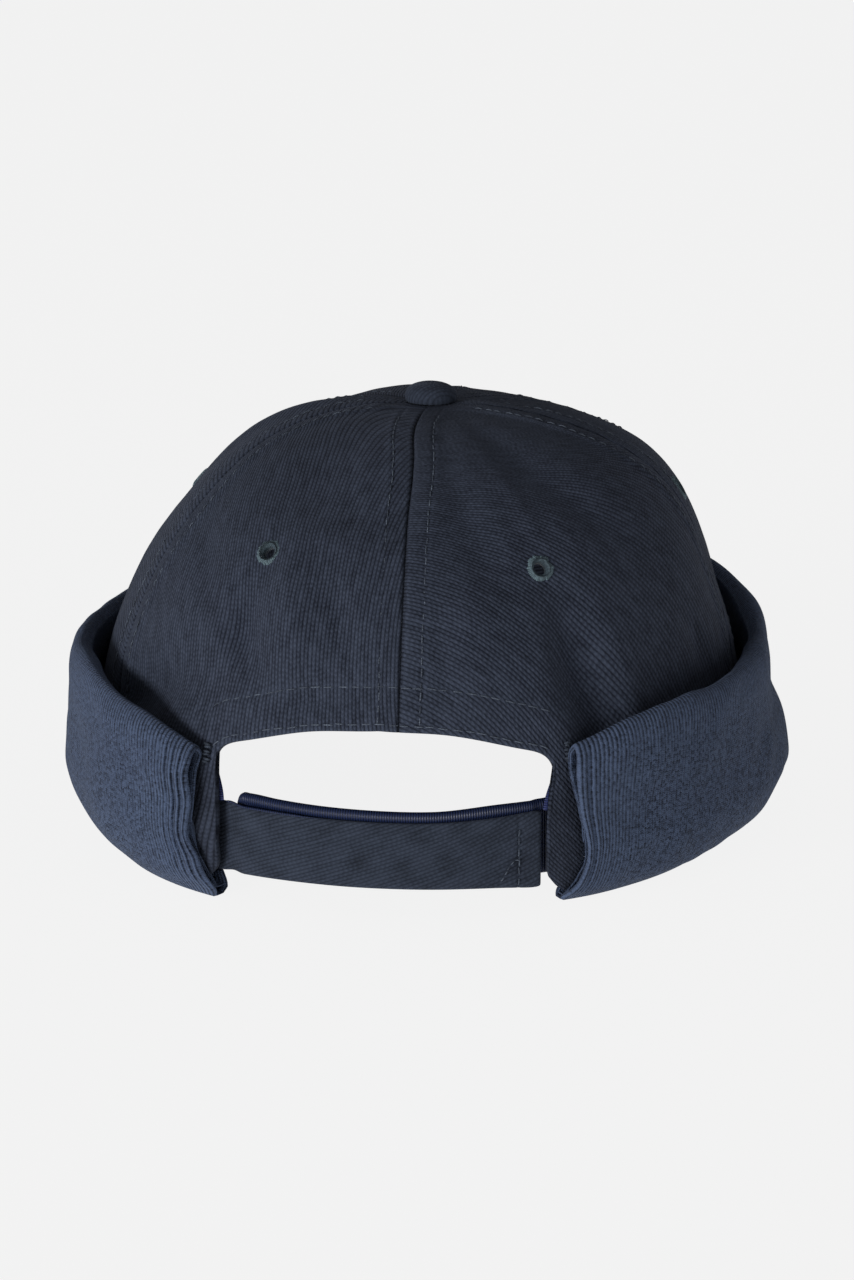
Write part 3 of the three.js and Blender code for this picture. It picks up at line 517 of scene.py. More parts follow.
            tone += 0.12 * bell(d, 0.8) + 0.08 * bell(d - self.hem - 0.4, 0.8)
            # Painted shade: the back panels are painted darker below about 26 to 42 mm high, where the cuff's
            # pocket shades the cloth.
            tone -= 0.16 * (1 - smoothstep(height, 26, 42))
        return total, tone

    def point(self, panel: Panel, angle: Array, climb: Array, depth: float,
              lift: Array | float = 0) -> Array:
        """A point of a panel: the smooth dome moved out by puff and lift and in by folds and depth."""
        base = self.smooth(angle, climb)
        z = base[..., 2]
        low = np.clip((z - 0.27 * self.height) / (0.12 * self.height), 0, 1)
        fade = np.clip((self.height - z) / 3, 0, 1) * low * low * (3 - 2 * low)
        dents = self.dents(self.folds, angle, z) + self.dents(self.creases, angle, z)
        out = self.puff(panel, angle, z) - dents * fade + lift - depth
        return base + self.outward(angle, climb) * out[..., None]

    def panel_at(self, angle: float, height: float) -> tuple[Panel, float]:
        """The panel that covers a place, and the angle counted the way its seams are."""
        for panel in PANELS:
            start, end = self.span(panel, np.array(height))
            for turned in (angle - 360, angle, angle + 360):
                if start <= turned <= end:
                    return panel, turned
        return PANELS[0], angle

    def surface(self, angle: Array, height: Array, depth: float = 0.0) -> Array:
        """Points of the finished cloth at angles and heights, whichever panel covers each."""
        found = np.zeros(angle.shape + (3,))
        for panel in PANELS:
            start, end = self.span(panel, height)
            turned = angle - 360 * np.floor((angle - start) / 360)
            inside = turned <= end
            if inside.any():
                at, z = turned[inside], height[inside]
                climb = self.climb_at_height(at, z)
                lift, _ = self.relief(panel, at, climb, z)
                found[inside] = self.point(panel, at, climb, depth, lift)
        return found

    def out_at(self, angle: Array, height: Array) -> Array:
        """How far the dome with its puff lies out from the foot line."""
        base = self.smooth(angle, self.climb_at_height(angle, height))
        out = np.hypot(base[..., 0] - self.lean, base[..., 1]) - self.foot_radius(angle)
        for panel in PANELS:
            start, end = self.span(panel, height)
            turned = angle - 360 * np.floor((angle - start) / 360)
            inside = turned <= end
            out = np.where(inside, out + np.where(inside, self.puff(panel, turned, height), 0), out)
        return out

    def around(self, angle: Array, out: Array, height: Array) -> Array:
        """Point at an angle, a distance out from the foot line, and a height."""
        a = np.radians(angle)
        r = self.foot_radius(angle) + out
        return np.stack(np.broadcast_arrays(r * np.sin(a) + self.lean, -r * np.cos(a), height), -1)


CROWN = Crown()


@dataclass(frozen=True)
class PanelCloth:
    """Builds one panel of the crown as a closed double sheet of cloth."""

    crown: Crown
    panel: Panel
    columns: int = 136
    arch_columns: int = 86
    rows: int = 176
    hole: float = 2.3
    joint: float = 0.06

    def lay_columns(self) -> tuple[Array, Array, Array]:
        """Columns of the sheet. A back panel begins with columns that follow the arch.

        Returns:
            Their share from seam to seam, their angle low down and their starting height.
        """
        crown, panel = self.crown, self.panel
        start, end = (float(a) for a in crown.span(panel, np.array(0.0)))
        if Seam.BACK not in (panel.start, panel.end):
            share = np.linspace(0, 1, self.columns)
            return share, start + (end - start) * share, np.full(self.columns, crown.foot)
        side = 1 if panel.start is Seam.BACK else -1
        seam = start if side > 0 else end - 360
        far = end if side > 0 else start - 360
        first = seam / crown.arch_half_angle * side * 0.75
        way = side * (first + (1 - first) * np.linspace(0, 1, self.arch_columns))
        low, height = crown.arch_edge(way)
        low[0] = seam
        foot = np.maximum(height, crown.foot)
        rest = np.linspace(0, 1, self.columns - self.arch_columns + 1)[1:]
        low = np.concatenate([low, low[-1] + (far - low[-1]) * rest])
        foot = np.concatenate([foot, np.full(len(rest), crown.foot)])
        even = np.linspace(0, 1, len(low))
        share = 0.15 * (low - seam) / (far - seam) + 0.85 * even
        if side < 0:
            return (1 - share)[::-1], (low + 360)[::-1], foot[::-1]
        return share, low, foot

    def weave(self, angle: Array, climb: Array, height: Array) -> Array:
        """Weave coordinates in millimetres, across and along the twill lines: the panel is unrolled
        from the back seam, or from its first one."""
        crown, panel = self.crown, self.panel
        start, end = crown.span(panel, height)
        seam = end if panel.end is Seam.BACK else start
        u = np.radians(angle - seam) * crown.radius(angle, climb)
        climbs = np.linspace(0, 90, 400)
        line = crown.smooth(np.full(400, float(seam.mean())), climbs)
        length = np.concatenate([[0], np.cumsum(np.linalg.norm(np.diff(line, axis=0), axis=1))])
        v = np.interp(climb, climbs, length)
        return np.stack([panel.lay.across(u, v), panel.lay.along(u, v)], -1)

    def build(self, material: bpy.types.Material) -> bpy.types.Object:
        """Builds the panel: an outer and an inner sheet joined along their edges and round the
        eyelet's hole."""
        crown, panel = self.crown, self.panel
        share, low, foot = (a[:, None] for a in self.lay_columns())
        t = np.linspace(0, 1, self.rows)[None, :]
        begin = crown.climb_at_height(low, foot)
        climb = begin + (crown.climb_at_apex(low) - begin) * t**1.35
        height = crown.smooth(low, climb)[..., 2]
        start, end = crown.span(panel, height)
        angle = start + (end - start) * share
        mix = smoothstep(np.minimum(t / 0.6, 1) ** 1.2, 0, 1) * np.ones(angle.shape)
        mix[0], mix[-1] = 1, 1
        angle = low + (angle - low) * mix
        spare = np.degrees(self.joint / 2 / np.maximum(crown.radius(angle, climb), 1))
        angle[0] += spare[0]
        angle[-1] -= spare[-1]
        own = crown.climb_at_height(angle, height)
        own[:, 0] = crown.climb_at_height(angle[:, 0], foot[:, 0])
        own[:, -1] = crown.climb_at_apex(angle[:, -1])
        z = crown.smooth(angle, own)[..., 2]
        lift, tone = crown.relief(panel, angle, own, z)
        outer = crown.point(panel, angle, own, 0, lift)
        lift += 0.18 * ripple(outer, 30, 3) + 0.03 * ripple(outer, 8, 4)
        outer = crown.point(panel, angle, own, 0, lift)
        inner = crown.point(panel, angle, own, crown.cloth, np.minimum(lift, 0.2))
        tone += 0.03 * ripple(outer, 45, 8)
        weave = self.weave(angle, own, z)
        centre = Eyelet(crown, panel).place()[0]
        cells = (outer[:-1, :-1] + outer[1:, 1:]) / 2
        keep = np.linalg.norm(cells - centre, axis=-1) > self.hole
        cloth = Cloth(panel.name.replace("crown", "cloth"))
        columns, rows = angle.shape
        faces = grid_faces(columns, rows)[keep.ravel()]
        corners = corner_values(weave)[keep.ravel()]
        count = columns * rows
        walls = self.walls(columns, rows, keep)
        flat = weave.reshape(-1, 2)
        quads = np.concatenate([faces, faces[:, ::-1] + count, walls])
        values = np.concatenate([corners, corners[:, ::-1], flat[walls % count]])
        points = np.concatenate([outer.reshape(-1, 3), inner.reshape(-1, 3)])
        used = np.unique(quads)
        renumber = np.zeros(len(points), int)
        renumber[used] = np.arange(len(used))
        tones = np.concatenate([tone.ravel(), np.full(count, 0.35)])
        cloth.add(points[used] + PLACE, renumber[quads], values, np.clip(tones[used], 0, 1))
        return cloth.make(Slot.TWILL, material, panel.name)

    @staticmethod
    def walls(columns: int, rows: int, keep: Array) -> Array:
        """Quads between the two sheets wherever a kept cell borders an empty one or the edge."""
        full = np.zeros((columns + 1, rows + 1), bool)
        full[1:-1, 1:-1] = keep
        count = columns * rows
        parts = []
        i, j = np.nonzero(full[:-1, 1:-1] != full[1:, 1:-1])
        a, b = i * rows + j, i * rows + j + 1
        turn = full[:-1, 1:-1][i, j]
        parts.append(np.where(turn[:, None], np.stack([b, a, a + count, b + count], -1),
                              np.stack([a, b, b + count, a + count], -1)))
        i, j = np.nonzero(full[1:-1, :-1] != full[1:-1, 1:])
        a, b = i * rows + j, (i + 1) * rows + j
        turn = full[1:-1, :-1][i, j]
        parts.append(np.where(turn[:, None], np.stack([a, b, b + count, a + count], -1),
                              np.stack([b, a, a + count, b + count], -1)))
        return np.concatenate(parts)


@dataclass(frozen=True)
class Eyelet:
    """Embroidered eyelet: a low ring of radial thread round a hole."""

    crown: Crown
    panel: Panel
    size: float = 7.2
    bore: float = 1.6
    rise: float = 0.75
    strands: int = 44

    def place(self) -> tuple[Array, Array]:
        """Its middle on the cloth and the outward direction there."""
        angle = np.array(self.panel.eyelet, float)
        climb = self.crown.climb_at_height(angle, self.panel.height * self.crown.height)
        depth = self.crown.cloth / 2

        def step(turn: float, rise: float) -> Array:
            """A nearby point."""
            return self.crown.point(self.panel, angle + turn, climb + rise, depth)

        n = np.cross(step(1, 0) - step(-1, 0), step(0, 1) - step(0, -1))
        return step(0, 0), n / np.linalg.norm(n)

    def build(self, material: bpy.types.Material) -> bpy.types.Object:
        """Builds the ring as a lathe whose outline and height waver from strand to strand."""
        middle, normal = self.place()
        turns = self.strands * 8
        theta = np.linspace(0, 2 * np.pi, turns, endpoint=False)[:, None]
        rng = np.random.default_rng(int(self.panel.eyelet))
        uneven = np.interp(theta, np.linspace(0, 2 * np.pi, self.strands + 1),
                           np.append(rng.normal(0, 0.2, self.strands), 0))
        ridge = np.abs(np.sin(theta * self.strands / 2))
        half, body = self.size / 2, self.crown.cloth / 2
        radius = np.array([self.bore, self.bore * 1.12, self.bore * 1.5, half * 0.66, half * 0.82,
                           half * 0.95, half, half * 0.95, half * 0.7, self.bore * 1.4, self.bore * 1.08])
        level = np.array([0.1, 0.7, 1.0, 1.0, 0.86, 0.45, 0.0, -0.5, -1.0, -1.0, -0.6])
        grow = smoothstep(radius, self.bore * 1.2, half)[None, :]
        r = radius[None, :] + grow * (uneven + 0.16 * ridge)
        h = level[None, :] * (body + self.rise) + np.where(level > 0.4, 0.14, 0)[None, :] * ridge
        u = np.cross(normal, [0, 0, 1.0])
        u /= np.linalg.norm(u)
        v = np.cross(normal, u)
        points = (middle + (r * np.cos(theta))[..., None] * u + (r * np.sin(theta))[..., None] * v
                  + (h * np.ones(r.shape))[..., None] * normal)
        cloth = Cloth(self.panel.name.replace("crown", "worked_eyelet"))
        points = np.concatenate([points, points[:1]])
        faces = grid_faces(turns + 1, len(radius), wrap=True)
        faces = np.where(faces >= turns * len(radius), faces - turns * len(radius), faces)
        a = np.linspace(0, self.strands, turns + 1)[:, None] * np.ones(len(radius) + 1)
        b = np.ones((turns + 1, 1)) * np.arange(len(radius) + 1) * 0.5
        # Painted shade: the strands that turn down into the hole are painted darker.
        tone = (0.5 + 0.5 * (ridge - 0.5)) * np.ones(r.shape) - 0.3 * (radius < self.bore * 1.3)
        cloth.add(points[:-1].reshape(-1, 3) + PLACE, faces, corner_values(np.stack([a, b], -1)),
                  np.clip(tone.ravel(), 0, 1))
        return cloth.make(Slot.THREAD, material, self.panel.name.replace("crown", "eyelet"))


@dataclass(frozen=True)
class Button:
    """Covered button: a low dome of twill on a short shank."""

    crown: Crown
    size: float = 14.0
    rise: float = 5.0
    shank: float = 2.2

    def build(self, material: bpy.types.Material) -> bpy.types.Object:
        """Builds the button as a lathe, a little flattened and uneven, with flat twill on it."""
        half = self.size / 2
        base = self.crown.height + self.crown.gap
        profile = Table(("way", "out", "up"), (
            (0, 0.001, 1.0), (1, 0.2, 0.995), (2, 0.42, 0.965), (3, 0.62, 0.9), (4, 0.79, 0.79),
            (5, 0.91, 0.63), (6, 0.98, 0.44), (7, 1.0, 0.26), (8, 0.975, 0.1), (9, 0.9, 0.0),
            (10, 0.7, 0.04), (11, 0.4, 0.05), (12, 0.31, -0.3), (13, 0.31, -0.9), (14, 0.001, -1.0)))
        way = np.linspace(0, 14, 113)
        r, up = profile.ease(way, "out") * half, profile.ease(way, "up") * self.rise
        theta = np.linspace(0, 2 * np.pi, 144, endpoint=False)[:, None]
        wobble = 1 + 0.012 * np.cos(2 * theta + 0.6) + 0.008 * np.cos(5 * theta)
        x, y = r * np.cos(theta) * wobble, r * np.sin(theta) * wobble
        z = base + up * np.ones(x.shape) - 0.02 * np.maximum(up, 0) * x / half
        points = np.stack([x, y, z], -1)
        points[..., 2] += 0.05 * ripple(points, 5, 21) * smoothstep(up, 0.5, 2)
        points += np.array([self.crown.lean + self.crown.apex_lean, 0, 0]) + PLACE
        cloth = Cloth("covered_button")
        columns, rows = x.shape
        faces = grid_faces(columns + 1, rows)
        faces = np.where(faces >= columns * rows, faces - columns * rows, faces)
        lean = math.radians(-52)
        spread = np.concatenate([x, x[:1]]), np.concatenate([y - (5 - up) * 0.4, y[:1] - (5 - up) * 0.4])
        weave = np.stack([spread[0] * math.cos(lean) + spread[1] * math.sin(lean),
                          -spread[0] * math.sin(lean) + spread[1] * math.cos(lean)], -1)
        tone = 0.5 + 0.12 * bell(r - half * 0.95, 0.8) * (up > 0.3) - 0.25 * (up < 0.2)
        cloth.add(points.reshape(-1, 3), faces, corner_values(weave),
                  (tone * np.ones(x.shape)).ravel())
        cloth.cap(np.arange(columns) * rows)
        cloth.cap((np.arange(columns) * rows + rows - 1)[::-1])
        return cloth.make(Slot.TWILL, material, "button")


# Cuff


@dataclass(frozen=True)
class Cuff:
    """The turned-up band of rib knit, rolled at its top and open at both ends."""

    crown: Crown
    height: float = 52.0
    bulge: float = 10.0
    tread: float = 2.5
    lift: float = 1.6
    cloth: float = 3.0
    left_tab: float = 1.6
    right_tab: float = 3.1
    roll: float = 6.6
    room: float = 5.0
    leaf_rise: float = 3.0
    leaf_cloth: float = 1.5
    around_step: float = 0.95
    end_step: float = 0.3
    end_reach: float = 15.0
    lip: float = 0.7
    lip_depth: float = 2.6
    face_samples: int = 7
    back_samples: int = 4
    shape: Table = Table(("run", "room", "height", "bulge", "middle", "foot", "lift"), (
        (0, 0.16, 0.79, 0.5, 0.38, 1, 0), (0.024, 0.6, 0.87, 0.64, 0.38, 1, 0),
        (0.057, 0.96, 0.94, 0.72, 0.38, 1.15, 0), (0.11, 1.1, 1.0, 0.62, 0.38, 1.7, 0),
        (0.203, 0.58, 0.985, 0.67, 0.38, 1.5, 0), (0.32, 0.78, 0.95, 0.74, 0.38, 0.8, 0),
        (0.5, 0.7, 1.04, 0.9, 0.36, 0.8, 0), (0.669, 0.82, 1.12, 1.1, 0.34, 0.8, 0),
        (0.775, 0.58, 1.02, 1.23, 0.33, 1.2, 0), (0.8515, 0.84, 1.0, 1.02, 0.34, 1.7, 0),
        (0.908, 1.1, 1.0, 0.8, 0.36, 1.7, 0.1), (0.9545, 0.8, 0.97, 0.68, 0.38, 1.5, 0.5),
        (0.981, 0.5, 0.91, 0.58, 0.38, 1.2, 0.75), (1, 0.2, 0.85, 0.5, 0.38, 1, 1)))
    # How far the open ends wander towards the opening, in millimetres, by height.
    ends: Table = Table(("height", "left", "right"), (
        (0, 2.4, 1.6), (2, 3.2, 2.2), (4, 2.8, 1.2), (6, 1.8, -0.4), (8.6, 1.1, -1.3), (12, 0.5, -2.2),
        (14.5, -0.9, -2.4), (18, -1.8, -2.0), (22, -1.1, -1.0), (27, 0.0, 0.5), (34, -0.7, 1.9),
        (38, 0.2, 2.2), (44, 0.4, 1.6)))

    def angle(self, run: Array) -> Array:
        """Angle of a place on the run from the left end round the front to the right end."""
        start = self.crown.arch_half_angle + self.left_tab
        end = 360 - self.crown.arch_half_angle - self.right_tab
        return 360 - start - (end - start) * run

    def section(self, run: Array) -> Array:
        """Corner points of the cross-sections: the outer face bulges up to a rolled rim, the inner
        face runs down to the pocket that holds the crown's foot, and a short leaf turns up inside.

        Args:
            run: places on the run.

        Returns:
            Distance out from the foot line and height, of shape (run, 24, 2).
        """
        crown = self.crown
        row = {name: self.shape.ease(run, name) for name in self.shape.columns[1:]}
        angle = self.angle(run)
        top, middle = row["height"] * self.height, row["middle"] * self.height
        bulge = row["bulge"] * self.bulge
        foot = -row["foot"] * self.tread
        rise = top - middle
        edge = top - self.roll * 0.55
        rim = crown.out_at(angle, edge) + 1.5 * crown.gap + np.maximum(row["room"], 0) * self.room
        shoulder = rim + self.roll
        tucked = -crown.tuck * max(1 - crown.foot / crown.tuck_height, 0) ** 2
        base = crown.foot - crown.gap
        pocket, leaf = tucked + 2.5 * crown.gap, tucked - crown.cloth - 2 * crown.gap

        def outward(share: float) -> Array:
            """Between the foot and the bulge."""
            return foot + (bulge - foot) * share

        def between(share: float) -> Array:
            """Between the bulge and the shoulder."""
            return bulge + (shoulder - bulge) * share

        def inner(out: Array, at: Array) -> tuple[Array, Array]:
            """The inner face, a cloth's thickness in but clear of the crown."""
            return np.maximum(out - self.cloth, crown.out_at(angle, at) + 1.5 * crown.gap), at

        face = [
            (foot, 0 * top), (outward(0.42), middle * 0.2), (outward(0.74), middle * 0.46),
            (outward(0.94), middle * 0.78), (bulge, middle), (between(0.3), middle + rise * 0.25),
            (between(0.75), middle + rise * 0.43), (shoulder, middle + rise * 0.62),
            (rim + self.roll * 0.96, middle + rise * 0.82), (rim + self.roll * 0.78, top - self.roll * 0.22),
            (rim + self.roll * 0.45, top), (rim + self.roll * 0.12, top - self.roll * 0.2), (rim, edge)]
        flat = np.ones(run.shape)
        back = [
            inner(rim + self.roll * 0.2 + self.cloth, middle + rise * 0.62),
            inner(between(0.6), middle + rise * 0.35), inner(bulge, middle),
            inner(outward(0.9), middle * 0.6), inner(outward(0.42), (base + self.cloth * 0.8) * flat),
            (pocket * flat, base * flat), (leaf * flat, base * flat),
            ((leaf - crown.gap / 3) * flat, (base + self.leaf_rise) * flat),
            ((leaf - self.leaf_cloth) * flat, (base + self.leaf_rise) * flat),
            ((leaf - self.leaf_cloth) * flat, base * 0.6 * flat),
            ((leaf - self.leaf_cloth / 3) * flat, 0 * flat)]
        corners = np.stack([np.stack(np.broadcast_arrays(o, z), -1) for o, z in face + back], 1)
        lift = np.maximum(row["lift"], 0)[:, None] * self.lift
        corners[..., 1] += np.where(corners[..., 1] < base * 0.7, lift, 0)
        return corners

    def resample(self, corners: Array) -> Array:
        """Rounds the cross-sections: cubic pieces through the face's corners, straight ones behind."""
        count = corners.shape[1]
        pieces = []
        for i in range(count):
            p = [corners[:, (i + k) % count] for k in (-1, 0, 1, 2)]
            samples = self.face_samples if i < 12 else self.back_samples
            t = (np.arange(samples) / samples)[None, :, None]
            a, b, c, d = (q[:, None, :] for q in p)
            if i < 13:
                q = 0.5 * (2 * b + (c - a) * t + (2 * a - 5 * b + 4 * c - d) * t**2
                           + (3 * b - 3 * c + d - a) * t**3)
                if i == 0:
                    q = b * (1 - t) + c * t
            else:
                q = b * (1 - t) + c * t
            pieces.append(q)
        ring = np.concatenate(pieces, 1)
        ring[..., 1] = np.maximum(ring[..., 1], 0)
        return ring

    def thickness(self) -> Array:
        """How much of the lip's radius each ring point takes: all on the outer and inner layer, a
        third in the pocket and the leaf, where the cloth is thin."""
        share = np.ones(12 * self.face_samples + 12 * self.back_samples)
        share[-9 * self.back_samples:] = 0.33
        return share

    def build(self, material: bpy.types.Material) -> bpy.types.Object:
        """Builds the cuff: sections along the run, closer together near the gathered ends, with
        pleats that follow the wandering ends and soft swells elsewhere."""
        crown = self.crown
        span = abs(float(self.angle(np.array(1.0)) - self.angle(np.array(0.0))))
        length = math.radians(span) * 97
        fine = np.concatenate([self.lip * (1 - np.cos(np.linspace(0, np.pi / 2, 6)[:-1])),
                               np.arange(self.lip, self.end_reach, self.end_step)])
        middle = np.linspace(self.end_reach, length - self.end_reach,
                             int((length - 2 * self.end_reach) / self.around_step))
        s = np.concatenate([fine, middle, (length - fine)[::-1]])
        run = s / length
        ring = self.resample(self.section(run))
        out, z = ring[..., 0], ring[..., 1]
        tangent = np.roll(ring, -1, 1) - np.roll(ring, 1, 1)
        tangent /= np.maximum(np.linalg.norm(tangent, axis=-1, keepdims=True), 1e-6)
        normal = np.stack([tangent[..., 1], -tangent[..., 0]], -1)
        visible = 12 * self.face_samples
        steps = np.linalg.norm(np.diff(ring, axis=1, append=ring[:, :1]), axis=-1)
        v = np.concatenate([np.zeros((len(s), 1)), np.cumsum(steps, 1)], 1)
        onface = np.zeros(ring.shape[1])
        onface[:visible + 1] = 1
        onface[visible + 1:visible + 6] = [0.8, 0.5, 0.3, 0.15, 0.05]
        left, right = s[:, None], length - s[:, None]
        wander_left, wander_right = self.ends.ease(z, "left"), self.ends.ease(z, "right")
        angle = self.angle(run)[:, None] * np.ones(z.shape)
        radius = crown.foot_radius(angle) + out
        angle = angle + np.degrees(wander_left * np.exp(-left / 7) / radius)
        angle = angle - np.degrees(wander_right * np.exp(-right / 7) / radius)
        free = smoothstep(z, 0.5, 6) * onface
        top = 1 - smoothstep(v[:, :-1] / v[:, visible:visible + 1], 0.72, 0.95)
        sway = 0.35 * np.sin(z / 5.2 + 0.8)
        ridge_left = np.abs(np.cos((left - 1.0 + sway * smoothstep(left, 1, 4)) * np.pi / 2.3)) ** 0.55
        ridge_right = np.abs(np.cos((right - 1.0) * np.pi / 2.7)) ** 0.6
        fold_left = (ridge_left - 0.75) * 1.5 * np.exp(-((left / 8.0) ** 4))
        fold_right = (ridge_right - 0.75) * 0.9 * np.exp(-((right / 4.6) ** 4))
        crumple = (fold_left * (0.8 + 0.2 * np.sin(z / 4.1 + left / 2)) + fold_right) * top
        pleat = crumple * smoothstep(z, 2, 9)
        points = crown.around(angle, out, z)
        soft = 0.5 * ripple(points, 38, 31) + 0.18 * ripple(points, 13, 32)
        move = free * (pleat + soft * smoothstep(np.minimum(left, right), 2, 20))
        near = np.clip(np.minimum(left, right) / self.lip, 0, 1)
        move = move - self.lip * (1 - np.sqrt(1 - (1 - near) ** 2)) * self.thickness()
        out, z = out + normal[..., 0] * move, z + normal[..., 1] * move
        points = crown.around(angle, out, np.maximum(z, 0))
        ribs = 0.35 + 0.65 * smoothstep(v[:, :-1] / v[:, visible:visible + 1], 0.62, 0.88)
        ribs = np.maximum(ribs, np.exp(-((np.minimum(left, right) / 22) ** 2)))
        ribs = np.where(onface[None, :] > 0.5, ribs, 0.8)
        tone = np.clip(ribs * 0.8 + 0.1 * pleat, 0, 1)
        # Each end turns over a rounded lip into a hollow between the outer and the inner layer.
        turn = np.radians(np.array([18, 36, 54, 72, 90, 90]))[:, None]
        inset = self.lip * np.sin(turn) * self.thickness()[None, :]
        sink = self.lip * (1 - np.cos(turn)) + np.array([0, 0, 0, 0, 0, self.lip_depth])[:, None]
        ends = []
        for end, way in ((0, -1), (-1, 1)):
            o, h = out[end] - normal[end, :, 0] * inset, z[end] - normal[end, :, 1] * inset
            at = angle[end] + way * np.degrees(sink / radius[end])
            ends.append(crown.around(at, o, np.maximum(h, 0)))
        points = np.concatenate([ends[0][::-1], points, ends[1]])
        cloth = Cloth("knit_cuff")
        extra = len(turn)
        arc = self.lip * np.arange(1, extra + 1) * 0.31
        s = np.concatenate([-arc[::-1], s, s[-1] + arc])
        v = np.concatenate([np.repeat(v[:1], extra, 0), v, np.repeat(v[-1:], extra, 0)])
        tone = np.concatenate([np.repeat(tone[:1], extra, 0), tone, np.repeat(tone[-1:], extra, 0)])
        sections, count = points.shape[:2]
        u = s[:, None] * np.ones((1, count + 1))
        cloth.add(points.reshape(-1, 3) + PLACE, grid_faces(sections, count, wrap=True),
                  corner_values(np.stack([u, v], -1)), tone.ravel())
        cloth.cap(np.arange(count))
        cloth.cap((np.arange(count) + (sections - 1) * count)[::-1])
        return cloth.make(Slot.KNIT, material, "cuff")


# Straps, tape and thread


